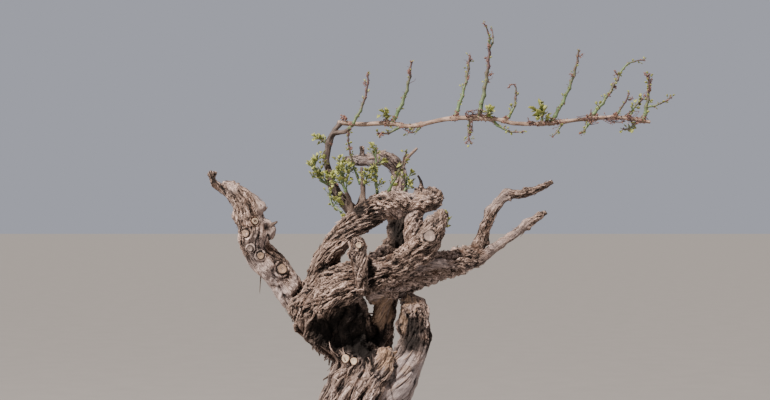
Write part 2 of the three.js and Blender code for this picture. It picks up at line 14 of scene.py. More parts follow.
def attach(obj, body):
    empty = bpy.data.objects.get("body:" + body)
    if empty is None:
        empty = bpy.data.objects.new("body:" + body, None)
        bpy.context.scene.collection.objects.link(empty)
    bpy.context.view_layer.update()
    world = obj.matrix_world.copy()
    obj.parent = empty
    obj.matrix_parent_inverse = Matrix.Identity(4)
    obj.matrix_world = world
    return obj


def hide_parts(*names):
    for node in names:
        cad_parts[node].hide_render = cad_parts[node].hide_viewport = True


bl_info = {
    "name": "Old grapevine",
    "version": (1, 0, 0),
    "blender": (4, 5, 0),
    "location": "View3D > Sidebar > Grapevine",
    "description": "Models an old bush grapevine: shaggy bark, a long cane and its stunted spring shoots",
    "category": "Add Mesh",
}

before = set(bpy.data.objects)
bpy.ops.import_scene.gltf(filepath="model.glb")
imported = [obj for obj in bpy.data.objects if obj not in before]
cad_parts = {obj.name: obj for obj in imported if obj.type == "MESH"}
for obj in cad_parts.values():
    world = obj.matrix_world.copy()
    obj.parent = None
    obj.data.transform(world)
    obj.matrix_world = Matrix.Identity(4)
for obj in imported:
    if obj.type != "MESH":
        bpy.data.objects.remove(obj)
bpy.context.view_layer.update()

MM = 0.001
VIEWER = np.array([0.0, -1.0, 0.0])
UP = np.array([0.0, 0.0, 1.0])
GOLDEN_TURN = 2.39996

# The radii of the head, the trunk and the cane, and how high the cane lies.
HEAD = 68.0
TRUNK = 72.0
CANE_RADIUS = 4.2
CANE_HEIGHT = 772.0

# How far apart the joints are on a young spur, and on a shoot and a twig.
SPUR_JOINT = 33.0
JOINT_GAPS = (13.0, 7.0)

# Seeds tell the kinds of spray apart: below the first number the cane's upright shoots, below the second its
# low ones, below the third its clusters of leaves, and from there on those of its arm and of the arch.
UPRIGHT_END, LOW_END, CANE_END = 30, 40, 44

# How each kind of bark is shaped: the height of its plates, the depth of its splits, its fine fibres, its
# lumps and its small knobs, the height of its long strands, how wide its plates are and how long against
# that, how much of it has worn smooth, how grey it is, and how far its grain winds round the limb (radians).
BARK_VALUES = ("plate", "split", "fibre", "lump", "knob", "strand", "width", "grain", "calm", "grey",
               "wind")


def bark_kind(*values):
    return dict(zip(BARK_VALUES, values))


SHAGGY = bark_kind(3.0, 3.4, 0.6, 1.4, 0.3, 1.6, 9.0, 5.5, 0.25, 0.38, 3.6)
HEAD_BARK = bark_kind(3.6, 3.0, 0.8, 2.6, 0.9, 4.2, 7.0, 3.2, 0.0, 0.05, 2.0)
SCALY = bark_kind(3.0, 2.4, 0.8, 2.8, 1.4, 2.2, 6.5, 2.2, 0.05, 0.12, 2.2)
STRINGY = bark_kind(2.6, 2.6, 0.8, 2.2, 0.8, 2.8, 6.5, 3.8, 0.15, 0.18, 2.0)
HARD = bark_kind(1.2, 3.2, 0.4, 2.2, 0.3, 2.6, 12.0, 7.0, 0.9, 0.7, 1.8)
SMOOTHER = bark_kind(1.1, 1.6, 0.5, 3.4, 1.2, 1.6, 7.0, 5.0, 0.5, 0.16, 1.2)
SPUR = bark_kind(1.0, 0.8, 0.35, 2.4, 1.6, 0.7, 5.0, 4.2, 0.25, 0.14, 1.0)
CURLY = bark_kind(3.2, 1.8, 1.0, 2.8, 1.5, 1.1, 5.5, 1.7, 0.12, 0.26, 2.6)
BLEACHED = bark_kind(1.6, 1.2, 0.5, 2.0, 1.0, 1.6, 6.0, 3.0, 0.45, 0.55, 1.6)

# Dark patches on the wood, partly rotted hollows and partly painted shade: middle, radius, depth and how
# black each is. The sunk ones are rotted hollows, and the big one under the head's overhang also stands for
# the shadow there. Those with no depth only darken the colour, mostly as painted shadow under the head and
# the front arm, on the side stub and on the back arm.
DARK_ROT_AND_PAINTED_SHADE = [
    ((-14, -46, 404), 42, 4, 0.97), ((-50, -40, 394), 30, 2, 0.75), ((20, -44, 380), 32, 3, 0.95),
    ((44, -22, 392), 24, 1, 0.85), ((-20, -60, 440), 14, 0, 0.6), ((40, -58, 462), 18, 0, 0.6),
    ((-33, -66, 476), 5, 5, 0.8), ((-20, -74, 497), 5, 4, 0.7), ((118, -66, 566), 12, 3, 0.6),
    ((-148, -12, 578), 7, 8, 0.9), ((-137, -12, 530), 4, 3, 0.7), ((84, -40, 386), 9, 6, 0.8),
    ((155, -72, 600), 14, 2, 0.6), ((100, -58, 372), 18, 0, 0.45), ((98, -70, 350), 5, 6, 0.9),
    ((84, 72, 590), 32, 0, 0.93), ((88, 66, 560), 28, 0, 0.93), ((2, -62, 376), 30, 4, 1.0),
    ((-26, -58, 366), 22, 2, 0.9), ((26, -58, 366), 20, 2, 0.93), ((34, -58, 362), 10, 5, 0.92),
    ((36, -60, 342), 8, 5, 0.9), ((38, -58, 328), 7, 4, 0.85),
    ((112, -54, 408), 20, 2, 0.9), ((106, -56, 382), 22, 0, 0.93), ((126, -34, 388), 26, 0, 0.93),
    ((120, -36, 362), 18, 0, 0.8), ((-149, -22, 583), 8, 8, 0.95), ((-146, -22, 606), 4, 3, 0.6),
    ((28, -84, 542), 11, 2, 0.85), ((29, -82, 524), 13, 2, 0.92), ((31, -76, 504), 13, 2, 0.92),
    ((34, -70, 486), 12, 2, 0.85), ((106, -58, 444), 7, 5, 0.7), ((-208, -24, 640), 6, 4, 0.8),
    ((154, -44, 618), 9, 7, 0.7), ((166, -30, 630), 7, 6, 0.6), ((140, -42, 654), 7, 5, 0.6),
    ((146, -54, 634), 6, 4, 0.7), ((156, -62, 606), 7, 4, 0.7), ((140, -84, 566), 5, 3, 0.5),
    ((121, -31, 668), 15, 0, 0.85), ((12, -52, 432), 22, 0, 0.93), ((24, -36, 418), 16, 0, 0.93),
    ((-60, -40, 404), 24, 0, 0.75), ((-46, -32, 380), 18, 0, 0.8), ((20, -35, 366), 14, 0, 0.97),
    ((9, -32, 374), 12, 0, 0.95), ((42, -16, 381), 14, 0, 0.95), ((30, -41, 360), 9, 0, 0.95),
    ((33, -47, 350), 7.5, 0, 0.95), ((35, -50, 340), 6.5, 0, 0.93), ((37, -55, 331), 6, 0, 0.9),
]

# Faces of bare torn wood: middle, radius and how bare each is. The first, on the middle stem's torn face,
# is made large and fully bare so that its pale wood also stands for the sunlight there: partly painted
# light.
BARE = [
    ((54, -22, 432), 27, 1.0), ((55, -70, 362), 13, 0.95), ((62, -74, 352), 12, 0.9),
    ((92, -42, 430), 11, 0.8), ((104, -40, 452), 10, 0.8), ((78, -50, 350), 8, 0.5),
    ((96, -60, 330), 9, 0.5), ((22, -52, 628), 7, 0.7), ((88, -52, 420), 11, 0.7),
    ((90, -50, 402), 9, 0.6), ((162, -42, 644), 6, 0.7), ((120, -44, 640), 7, 0.6),
]

# Limbs that the wood grows in one piece: line, girth, flutes (count, depth, wind, phase, foot), knots
# (at, turn, rise, spread), stubs of cuts (at, turn, radius, stand) and ribs of bark (count, height over the
# girth, wind), as in the solids.
LIMBS = {
    "trunk": dict(
        upright=True,
        line=[(0, 0, -30), (2, 0, 32), (8, 0, 110), (15, 0, 195), (22, 0, 268), (27, 2, 310),
              (24, 8, 342), (-5, 8, 370), (-27, 4, 398), (-36, 0, 428), (-40, -2, 458), (-42, -3, 484),
              (-44, -4, 502)],
        girth=[*(r * TRUNK for r in (1.5, 1.2, 1.02, 0.96, 1, 0.9, 0.76)),
               *(r * HEAD for r in (0.93, 1.02, 1, 0.86, 0.62, 0.35))],
        flutes=(4, 0.09, 1.6, 2.1, 0.14), ribs=(16, 0.06, 3.6),
        knots=[(0.72, 200, 16, 34), (0.62, 130, 14, 30), (0.8, -75, 10, 26), (0.44, -60, 9, 22),
               (0.86, 160, 18, 26), (0.66, -20, -28, 32), (0.68, 22, -26, 32), (0.6, 12, -16, 26),
               (0.46, 0, 6, 18)],
        cuts=[(0.523, -30, 7.5, 6), (0.511, -18, 6.5, 6)], bark=SHAGGY),
    "middle_stem": dict(
        line=[(40, 4, 350), (54, 4, 400), (59, 0, 445), (66, -8, 478)], girth=[30, 22, 20, 21],
        knots=[(0.45, -30, 6, 14)], bark=STRINGY),
    "side_stub": dict(
        line=[(62, -14, 262), (92, -27, 322), (110, -32, 366), (112, -31, 408), (108, -29, 438),
              (99, -29, 458)],
        girth=[34, 31, 28, 26, 23, 14], flutes=(3, 0.1, 1.8, 0.2),
        knots=[(0.86, 80, 5, 12), (0.62, -90, 6, 14), (0.5, 95, 5, 9)], bark=HARD),
    "cleft_stub": dict(
        line=[(52, -40, 318), (57, -54, 342), (59, -56, 366)], girth=[20, 19, 15], bark=STRINGY),
    "left_arm": dict(
        line=[(-48, 24, 418), (-95, 24, 449), (-139, 15, 503), (-173, 2, 543), (-180, -8, 584),
              (-194, -10, 625), (-217, -8, 651), (-229, -7, 663)],
        girth=[32, 28, 28, 29, 26, 23, 15, 8], flutes=(2, 0.06, 1.2, 0.9),
        knots=[(0.545, 86, 17, 14), (0.66, 84, 11, 10), (0.66, -84, 9, 8), (0.83, 20, 6, 11),
               (0.9, 60, 5, 9)],
        cuts=[(0.285, 28, 10.5, 2), (0.41, 6, 7.5, 2.5), (0.468, -11, 6, 2), (0.554, -22, 8, 2),
              (0.605, 21, 6.5, 3)],
        bark=SMOOTHER),
    "left_spur": dict(
        line=[(-220, -8, 645), (-239, -9, 655), (-250, -9, 668), (-252, -9, 681)],
        girth=[10, 6.5, 5.5, 5], knots=[(0.93, -90, 5, 5), (0.97, 90, 6, 5), (0.5, -90, 3, 5)], bark=SPUR),
    "arch_rise": dict(
        line=[(-60, -6, 476), (-45, -13, 526), (-22, -18, 560), (4, -22, 588), (33, -25, 610)],
        girth=[30, 22, 20, 22, 25], flutes=(3, 0.08, 2.0, 1.4), knots=[(0.55, 120, 6, 14)], bark=STRINGY),
    "arch_top": dict(
        line=[(25, -24, 604), (50, -25, 621), (79, -28, 627), (111, -30, 624), (139, -32, 631),
              (159, -32, 641)],
        girth=[25, 25, 22.5, 18.5, 20, 12], flutes=(3, 0.09, 1.5, 2.4),
        knots=[(0.66, -100, 9, 9), (0.9, -70, 7, 9), (0.86, 80, 6, 11), (0.42, 92, 6, 12)], bark=CURLY),
    "arch_peg": dict(
        line=[(126, -31, 636), (124, -31, 662), (118, -31, 676)], girth=[5.5, 3.4, 2.4], bark=SPUR),
    "front_arm": dict(
        line=[(-52, -20, 448), (-12, -42, 480), (33, -52, 497), (79, -58, 515), (110, -60, 540),
              (137, -60, 565), (153, -58, 592), (163, -56, 613)],
        girth=[44, 38, 28, 23, 23, 22, 17, 8], flutes=(3, 0.08, 2.6, 0),
        knots=[(0.3, -60, 8, 16), (0.62, 75, 8, 13), (0.84, -85, 6, 10)], cuts=[(0.725, -3, 12, 2)],
        bark=SCALY),
    "front_stub": dict(
        line=[(20, -66, 470), (17, -83, 514), (14, -89, 546), (10, -90, 565)], girth=[17, 14.5, 14, 10],
        flutes=(3, 0.1, 1.5, 1), knots=[(0.62, -85, 8, 9)], cuts=[(0.79, 4, 6, 2)], bark=STRINGY),
    "bridge_arm": dict(
        line=[(118, -46, 540), (112, -42, 566), (110, -36, 592), (116, -32, 612)], girth=[17, 17, 16, 15],
        bark=CURLY),
    "right_arm": dict(
        line=[(30, -14, 470), (77, -15, 483), (122, -12, 501), (150, -10, 511), (178, -7, 517),
              (204, -4, 525), (228, 0, 535)],
        girth=[25, 26, 25, 25, 21.5, 22, 16], flutes=(3, 0.06, 1.7, 3),
        knots=[(0.56, -70, 7, 10), (0.36, 30, 6, 12), (0.9, -80, 4, 10), (0.78, 75, 4, 10)], bark=CURLY),
    "right_upper_spur": dict(
        line=[(221, -1, 535), (234, 6, 563), (245, 10, 592), (261, 12, 622), (281, 12, 641),
              (305, 10, 643), (331, 8, 650), (360, 5, 664)],
        girth=[15, 10.5, 9.5, 9, 9.5, 7.5, 6.5, 4.2],
        knots=[(0.36, -90, 6, 7), (0.57, -90, 4, 8), (0.8, -90, 3, 6), (0.14, 90, 4, 7)], bark=SPUR),
    "right_lower_spur": dict(
        line=[(219, -6, 523), (242, -12, 535), (265, -20, 554), (290, -26, 571), (316, -30, 591),
              (345, -32, 609)],
        girth=[13, 9.5, 8.3, 7.4, 7.8, 4.4], knots=[(0.78, -80, 3, 6), (0.4, 60, 2.5, 6)], bark=SPUR),
    "back_arm": dict(
        line=[(-16, 26, 470), (22, 52, 498), (58, 73, 520), (85, 88, 551), (86, 95, 602), (86, 100, 650),
              (85, 100, 682), (77, 96, 700)],
        girth=[30, 28, 24, 23, 21, 15, 13.5, 13.5], flutes=(3, 0.08, 1.4, 1),
        knots=[(0.38, 180, 8, 14), (0.6, 150, 6, 12), (0.66, -120, 5, 11)], bark=SCALY),
    "back_arm_top": dict(
        line=[(83, 98, 695), (59, 90, 710), (35, 80, 707), (9, 68, 703), (-13, 58, 706)],
        girth=[14, 13.5, 12, 9.5, 7], knots=[(0.75, 0, 3, 8), (0.3, 170, 5, 8)], bark=BLEACHED),
    "back_peg": dict(
        line=[(18, 71, 704), (17, 70, 719), (16, 69, 729)], girth=[5.5, 4.4, 4], bark=SPUR),
}

# Younger, smoother wood: the two-year arm of the cane, the cane itself and the small spurs.
CANES = {
    "arch_spur": dict(
        line=[(9, -24, 606), (17, -27, 628), (20, -28, 652), (17, -28, 690)], girth=[10, 7, 4.6, 2.8],
        knots=[(0.4, 90, 3, 6)], age=0.75),
    "arch_small_spur": dict(
        line=[(0, -26, 606), (-3, -32, 627), (-10, -35, 646)], girth=[7, 5, 3.8], age=0.75),
    "back_twig": dict(
        line=[(88, 99, 690), (102, 98, 711), (119, 96, 728)], girth=[6, 4, 2.4], age=0.4),
    "cane_arm": dict(
        line=[(4, -20, 608), (-13, -16, 630), (-29, -14, 649), (-40, -12, 676), (-45, -10, 708),
              (-41, -8, 736), (-31, -7, 757), (-20, -6, CANE_HEIGHT)],
        girth=[13, 11, 9, 7.4, 6.2, 6, 6, 5.4],
        knots=[(0.6, -90, 4, 5), (0.42, 90, 3, 5), (0.85, 100, 2, 6)], age=1.0),
    "cane_side_spur": dict(
        line=[(-33, -8, 752), (-14, -15, 754), (-4, -18, 760)], girth=[5.5, 4.2, 3.4], age=0.9),
    "cane": dict(
        line=[(-24, -6, CANE_HEIGHT - 1), (20, -5, CANE_HEIGHT - 4), (65, -3, CANE_HEIGHT - 2),
              (108, 0, CANE_HEIGHT - 7), (180, 3, CANE_HEIGHT + 7), (256, 5, CANE_HEIGHT + 6),
              (296, 7, CANE_HEIGHT - 2), (360, 6, CANE_HEIGHT - 1), (430, 3, CANE_HEIGHT + 7),
              (488, 0, CANE_HEIGHT + 8), (536, -2, CANE_HEIGHT)],
        girth=[r * CANE_RADIUS for r in (1.2, 1.1, 1.08, 1.05, 1.1, 1, 1, 0.95, 0.95, 0.95, 0.8)], age=0.0),
}


def shoot(root, reach, bow, girth, leaves, leaf, seed, tint, flowers, **more):
    """A spray's facts, as in the solids, with its leaves' tint and how many withered clusters it has."""
    return dict(root=root, reach=reach, bow=bow, girth=girth, leaves=leaves, leaf=leaf, seed=seed,
                tint=tint, flowers=flowers, **more)


# Shoots and tufts. The tint is 0 for fresh green leaves, 1 for yellow and 2 for bronze or withered ones.
SPRAYS = {
    "shoot_first": shoot((-6, -18, 759), (35, -9, 98), (9, 0, -3), 2.6, 6, 6, 11, 2, 1),
    "shoot_second": shoot((71, -3, 770), (35, -14, 110), (8, 0, -2), 3.1, 7, 6, 12, 0, 1),
    "shoot_third": shoot((184, 3, 779), (28, 13, 114), (6, 0, 4), 2.9, 8, 7, 13, 1, 2),
    "shoot_tall": shoot((227, 4, 779), (20, -10, 136), (5, 0, 4), 3.5, 8, 6, 14, 2, 3,
        forks=[(0.93, (-11, -8, 42), (4, 0, 3), 1.8, 4, 6), (0.9, (4, 10, 38), (5, 0, 0), 1.6, 1, 5)]),
    "shoot_hooked": shoot((273, 6, 775), (23, 14, 54), (7, 0, -5), 2.6, 7, 7, 17, 1, 0),
    "shoot_sixth": shoot((358, 6, 771), (49, -16, 130), (10, 0, 2), 3, 8, 7, 18, 1, 2),
    "shoot_seventh": shoot((427, 3, 779), (58, 17, 82), (3, 0, -3), 3.2, 12, 8, 19, 1, 3,
        forks=[(0.985, (45, 8, 26), (-5, 0, 7), 1.8, 5, 7)]),
    "shoot_short": shoot((470, 1, 780), (27, -15, 42), (1, 0, -3), 2, 5, 6, 21, 2, 1),
    "shoot_leafy": shoot((497, 0, 778), (29, 16, 36), (-2, 0, 3), 2.4, 9, 9, 22, 1, 0),
    "shoot_last": shoot((523, -2, 774), (10, -8, 84), (4, 0, 0), 3, 13, 8, 23, 2, 4,
        forks=[(0.3, (43, -10, 17), (2, 0, -3), 1.8, 6, 7)]),
    "low_shoot_first": shoot((88, -2, 766), (-42, -16, -14), (0, 0, -6), 2.3, 6, 8, 31, 2, 1),
    "low_shoot_second": shoot((122, 1, 767), (-20, -12, -14), (6, 0, -3), 1.9, 5, 10, 32, 1, 0),
    "low_shoot_third": shoot((216, 4, 778), (-2, -13, -44), (-6, 0, 0), 1.9, 6, 7, 33, 2, 1),
    "low_shoot_fourth": shoot((252, 5, 778), (55, -15, -23), (-2, 0, -9), 2.3, 7, 7, 34, 1, 0),
    "low_shoot_fifth": shoot((381, 5, 772), (-21, -14, -27), (3, 0, 3), 2, 4, 7, 35, 1, 0),
    "low_shoot_sixth": shoot((434, 3, 778), (-24, -18, -27), (-4, 0, -6), 2.2, 6, 7, 36, 1, 0),
    "low_shoot_end": shoot((516, -1, 776), (-26, 12, -16), (2, 0, -4), 2.1, 8, 9, 37, 1, 0),
    "leaf_cluster_first": shoot((62, -3, 769), (-2, -6, 20), (0, 0, 0), 1.7, 6, 11, 41, 0, 0),
    "leaf_cluster_second": shoot((240, 5, 778), (7, -16, 11), (0, 0, 2), 1.8, 6, 12, 42, 1, 0),
    "leaf_cluster_third": shoot((342, 6, 770), (-5, -8, 22), (2, 0, 0), 1.9, 6, 17, 43, 0, 0),
    "arm_leaf_cluster": shoot((-43, -9, 734), (-16, -8, 8), (0, 0, -2), 1.8, 6, 11, 44, 1, 0),
    "upper_left_tuft": shoot((-33, -14, 657), (-34, -18, 44), (-7, 0, -8), 2.8, 4, 12, 51, 0, 0,
        twigs=7, twig_length=24),
    "lower_left_tuft": shoot((-34, -14, 655), (18, -28, -44), (-12, 0, -4), 2.2, 3, 12, 52, 0, 0,
        twigs=4, twig_length=12),
    "middle_tuft": shoot((-5, -33, 634), (-8, -10, 52), (-6, 0, 2), 2.6, 4, 13, 53, 0, 0,
        twigs=8, twig_length=26),
    "spur_tuft": shoot((18, -28, 652), (10, -13, 24), (2, 0, 2), 2, 3, 11, 54, 0, 0,
        twigs=4, twig_length=14),
    "upright_tuft": shoot((46, -24, 634), (-2, -13, 92), (-2, 0, 0), 2.3, 3, 11, 55, 0, 0,
        twigs=6, twig_length=12),
    "leaning_shoot": shoot((60, -26, 640), (38, -18, 78), (2, 0, -2), 2.4, 8, 10, 56, 0, 0),
    "slender_shoot": shoot((15, -27, 660), (-21, -26, 92), (-6, 0, 6), 1.9, 9, 6, 57, 2, 2),
    "back_tuft": shoot((88, -24, 640), (10, 12, 34), (4, 0, 0), 2, 3, 11, 58, 0, 0,
        twigs=4, twig_length=15),
    "knuckle_shoot": shoot((156, -58, 578), (12, -6, 34), (8, 0, -3), 1.6, 7, 8, 59, 0, 0),
}


# Lines, limbs and noise.


def unit(rows):
    """Rows scaled to length one."""
    rows = np.asarray(rows, float)
    return rows / np.maximum(np.linalg.norm(rows, axis=-1, keepdims=True), 1e-12)


def spline(stations, shares):
    """A smooth line through the stations, at places from 0 to 1."""
    stations = np.asarray(stations, float)
    ends = np.vstack([2 * stations[:1] - stations[1:2], stations, 2 * stations[-1:] - stations[-2:-1]])
    along = np.clip(np.asarray(shares, float), 0, 1) * (len(stations) - 1)
    first = np.minimum(along.astype(int), len(stations) - 2)
    part = (along - first)[:, None]
    before, start, end, after = ends[first], ends[first + 1], ends[first + 2], ends[first + 3]
    leave, arrive = 0.5 * (end - before), 0.5 * (after - start)
    cubic = 2 * start - 2 * end + leave + arrive
    square = 3 * end - 3 * start - 2 * leave - arrive
    return ((cubic * part + square) * part + leave) * part + start


def across(along):
    """The two directions across a line: the one that faces the viewer and the one beside it."""
    front = unit(VIEWER - along * (along @ VIEWER)[..., None])
    return front, np.cross(along, front)


def rail(limb, shares):
    """Middle, direction, front, side and girth of a limb at places from 0 to 1."""
    shares = np.atleast_1d(np.asarray(shares, float))
    middle = spline(limb["line"], shares)
    if limb.get("upright"):
        along = np.tile(UP, (len(shares), 1))
    else:
        ahead, behind = np.minimum(shares + 1e-4, 1), np.maximum(shares - 1e-4, 0)
        along = unit(spline(limb["line"], ahead) - spline(limb["line"], behind))
    front, side = across(along)
    girth = spline([(r,) for r in limb["girth"]], shares)[:, 0]
    return middle, along, front, side, girth


def length_of(limb):
    """The length of a limb's middle line."""
    steps = spline(limb["line"], np.linspace(0, 1, 201))
    return float(np.linalg.norm(np.diff(steps, axis=0), axis=1).sum())


def rib_wave(ribs, shares, angles):
    """The strips of bark that wind round the trunk: 1 on the middle of one, -1 in the furrow beside it."""
    turn = angles - ribs[2] * shares
    stray = 1.3 * np.sin(2 * turn + 5 * shares) + 0.8 * np.sin(5 * turn - 11 * shares)
    return np.cos(ribs[0] * turn + stray)


def rib_height(ribs, shares, angles):
    """How far the strips stand out of the trunk, against its girth."""
    swell = 0.65 + 0.35 * np.sin(3 * (angles - ribs[2] * shares) + 19 * shares)
    return ribs[1] * swell * rib_wave(ribs, shares, angles)


def surface_radius(limb, shares, angles):
    """How far the limb's surface stands from its middle line."""
    count, depth, wind, phase, *foot = limb.get("flutes", (3, 0.07, 2.2, 0.4))
    girth = spline([(r,) for r in limb["girth"]], shares)[:, 0]
    depth = depth + (foot[0] if foot else 0) * np.exp(-shares / 0.12)
    strands = np.cos(count * (angles - wind * shares) + phase)
    ripples = np.cos((2 * count - 1) * (angles + 0.5 * wind * shares) + 1.7 * phase)
    reach = girth * (1 + depth * (strands + 0.4 * ripples))
    if "ribs" in limb:
        reach = reach + girth * rib_height(limb["ribs"], shares, angles)
    length = length_of(limb)
    for at, turn, rise, spread in limb.get("knots", ()):
        away = angles - math.radians(turn)
        round_limb = girth * np.arctan2(np.sin(away), np.cos(away))
        past = (shares - at) * length
        reach = reach + rise * np.exp(-(round_limb**2 + past**2) / spread**2)
    return reach


def on_limb(limb, share, turn_degrees, stand=0.0):
    """A point on the limb's surface and the direction out of it there."""
    middle, along, front, side, _ = rail(limb, [share])
    angle = math.radians(turn_degrees)
    out = front[0] * math.cos(angle) + side[0] * math.sin(angle)
    reach = surface_radius(limb, np.array([share]), np.array([angle]))[0]
    return middle[0] + out * (reach + stand), out, along[0]


# The twelve slopes that the noise picks from.
SLOPES = unit([(1, 1, 0), (-1, 1, 0), (1, -1, 0), (-1, -1, 0), (1, 0, 1), (-1, 0, 1),
               (1, 0, -1), (-1, 0, -1), (0, 1, 1), (0, -1, 1), (0, 1, -1), (0, -1, -1)])


def noise(points, size, seed=0):
    """Smooth noise from about -1 to 1, with features of the given size in millimetres along each axis."""
    places = np.asarray(points, float) / np.asarray(size, float) + 17.31 * seed
    cell = np.floor(places).astype(np.int64)
    part = places - cell
    fade = part**3 * (part * (part * 6 - 15) + 10)
    total = np.zeros(len(places))
    for corner in np.ndindex(2, 2, 2):
        mixed = (cell + corner) @ np.array([374761393, 668265263, 1274126177])
        mixed = (mixed + seed * 974634777) & 0xFFFFFFFF
        mixed = ((mixed ^ (mixed >> 13)) * 1274126177) & 0xFFFFFFFF
        slope = SLOPES[(mixed ^ (mixed >> 16)) % 12]
        weight = np.prod(np.where(corner, fade, 1 - fade), axis=1)
        total += weight * (slope * (part - corner)).sum(axis=1)
    return 2.2 * total


def step_up(value, low, high):
    """A soft step from 0 at low to 1 at high."""
    part = np.clip((value - low) / (high - low), 0, 1)
    return part * part * (3 - 2 * part)


def hump(value, width):
    """1 where the value is 0, fading to nothing within about two widths."""
    return np.exp(-((value / width) ** 2))


def blend(first, second, share):
    """The first, changed to the second by the share."""
    return first * (1 - share) + second * share


# Meshes.


def settings():
    return bpy.context.scene.grapevine


def set_mode(mode):
    bpy.ops.object.mode_set(mode=mode)


def deselect_all():
    bpy.ops.object.select_all(action="DESELECT")


def make_active(piece):
    deselect_all()
    piece.select_set(True)
    bpy.context.view_layer.objects.active = piece


def apply_modifier(piece, kind, **options):
    """Adds a modifier, sets it and applies it."""
    make_active(piece)
    modifier = piece.modifiers.new(kind.title(), kind)
    for option, value in options.items():
        setattr(modifier, option, value)
    bpy.ops.object.modifier_apply(modifier=modifier.name)


def read_vectors(piece, field):
    flat = np.empty(len(piece.data.vertices) * 3)
    piece.data.vertices.foreach_get(field, flat)
    return flat.reshape(-1, 3)


def points_of(piece):
    return read_vectors(piece, "co") / MM


def move_points(piece, points):
    piece.data.vertices.foreach_set("co", (np.asarray(points) * MM).ravel())
    piece.data.update()


def write_attribute(piece, name, values):
    """A number or a vector at each point, which the materials read by name."""
    values = np.asarray(values, float)
    kind, field = ("FLOAT_VECTOR", "vector") if values.ndim == 2 else ("FLOAT", "value")
    piece.data.attributes.new(name, kind, "POINT").data.foreach_set(field, values.ravel())


def select_whole_mesh():
    bpy.ops.mesh.select_all(action="SELECT")


def capped_tube(name, sides, rows):
    """A tube whose rows are functions that give their points from the angle: a grid is added, wrapped round,
    joined along its seam and closed at both ends."""
    deselect_all()
    bpy.ops.mesh.primitive_grid_add(x_subdivisions=sides, y_subdivisions=len(rows) - 1, size=2)
    tube = bpy.context.object
    tube.name = tube.data.name = name
    flat = points_of(tube) * MM
    angles = np.pi * flat[:, 0]
    row = np.rint((flat[:, 1] + 1) / 2 * (len(rows) - 1)).astype(int)
    points = np.empty_like(flat)
    for index, place in enumerate(rows):
        chosen = row == index
        points[chosen] = place(angles[chosen])
    move_points(tube, points)
    set_mode("EDIT")
    select_whole_mesh()
    bpy.ops.mesh.remove_doubles(threshold=1e-6)
    select_whole_mesh()
    bpy.ops.mesh.fill_holes(sides=0)
    select_whole_mesh()
    bpy.ops.mesh.normals_make_consistent(inside=False)
    set_mode("OBJECT")
    return tube


def limb_tube(name, limb, sides, step, relief=None):
    """A limb as a closed tube with domed ends, its surface as in the solids. relief adds to its radius."""
    dome = 0.3
    steps = max(3, round(length_of(limb) / step))
    lips = [(math.sin(a), math.cos(a)) for a in (0.5, 1.0, 1.4)]
    rows = [(0.0, -out, size) for out, size in reversed(lips)]
    rows += [(share, 0.0, 1.0) for share in np.linspace(0, 1, steps + 1)]
    rows += [(1.0, out, size) for out, size in lips]

    def row(share, out, size):
        def place(angles):
            middle, along, front, side, girth = rail(limb, [share])
            shares = np.full(len(angles), share)
            reach = surface_radius(limb, shares, angles)
            if relief is not None:
                reach = reach + relief(shares, angles)
            reach = reach * size
            centre = middle[0] + along[0] * out * dome * girth[0]
            spokes = np.outer(reach * np.cos(angles), front[0])
            return centre + spokes + np.outer(reach * np.sin(angles), side[0])

        return place

    return capped_tube(name, sides, [row(*facts) for facts in rows])


def join_pieces(name, pieces):
    deselect_all()
    for piece in pieces:
        piece.select_set(True)
    bpy.context.view_layer.objects.active = pieces[0]
    if len(pieces) > 1:
        bpy.ops.object.join()
    whole = bpy.context.view_layer.objects.active
    whole.name = whole.data.name = name
    return whole


def mesh_from(name, points, faces, face_materials):
    """Many small closed forms as one mesh, from arrays."""
    mesh = bpy.data.meshes.new(name)
    mesh.from_pydata((np.asarray(points) * MM).tolist(), [], faces)
    mesh.polygons.foreach_set("material_index", face_materials)
    mesh.update()
    piece = bpy.data.objects.new(name, mesh)
    bpy.context.scene.collection.objects.link(piece)
    return piece


def finish_piece(piece, materials, nodes=(), smooth=True):
    """Gives a piece its materials, hangs it on the root and hides the nodes that it stands for."""
    piece.data.materials.clear()
    for material in materials:
        piece.data.materials.append(material)
    if smooth:
        piece.data.shade_smooth()
    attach(piece, "root")
    if nodes:
        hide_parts(*nodes)


def tube_faces(rows, sides):
    """The faces of a closed tube whose points lie in rows."""
    last = (rows - 1) * sides
    faces = [(r + s, r + (s + 1) % sides, r + sides + (s + 1) % sides, r + sides + s)
             for r in range(0, last, sides) for s in range(sides)]
    return [*faces, tuple(reversed(range(sides))), tuple(range(last, last + sides))]


class SmallForms:
    """Gathers many small closed forms, and the numbers that each point carries, for one mesh."""

    def __init__(self):
        self.points, self.faces, self.materials, self.marks = [], [], [], []

    def add(self, points, faces, mark, material=0):
        first = len(self.points)
        self.points.extend(np.asarray(points, float).tolist())
        self.faces.extend([[first + i for i in face] for face in faces])
        self.materials.extend([material] * len(faces))
        marks = np.asarray(mark, float)
        self.marks.extend(marks.tolist() if marks.ndim == 2 else [marks.tolist()] * len(points))

    def tube(self, line, radii, sides, ripe_start, ripe_end):
        """A closed tube along a line of points, riper towards its end."""
        line = np.asarray(line, float)
        radii = np.asarray(radii)[:, None]
        tangents = unit(np.gradient(line, axis=0))
        cross_a = unit(VIEWER - tangents * (tangents @ VIEWER)[:, None] + 1e-6)
        cross_b = np.cross(tangents, cross_a)
        turns = (2 * np.pi * np.arange(sides) / sides)[None, :, None]
        rings = line[:, None] + np.cos(turns) * (cross_a * radii)[:, None]
        rings = rings + np.sin(turns) * (cross_b * radii)[:, None]
        shares = np.repeat(np.linspace(0, 1, len(line)), sides)
        marks = np.stack([shares, blend(ripe_start, ripe_end, shares), 0 * shares], axis=1)
        self.add(rings.reshape(-1, 3), tube_faces(len(line), sides), marks)

    def build(self, name, attribute):
        piece = mesh_from(name, self.points, self.faces, self.materials)
        write_attribute(piece, attribute, np.array(self.marks))
        return piece


# Materials.


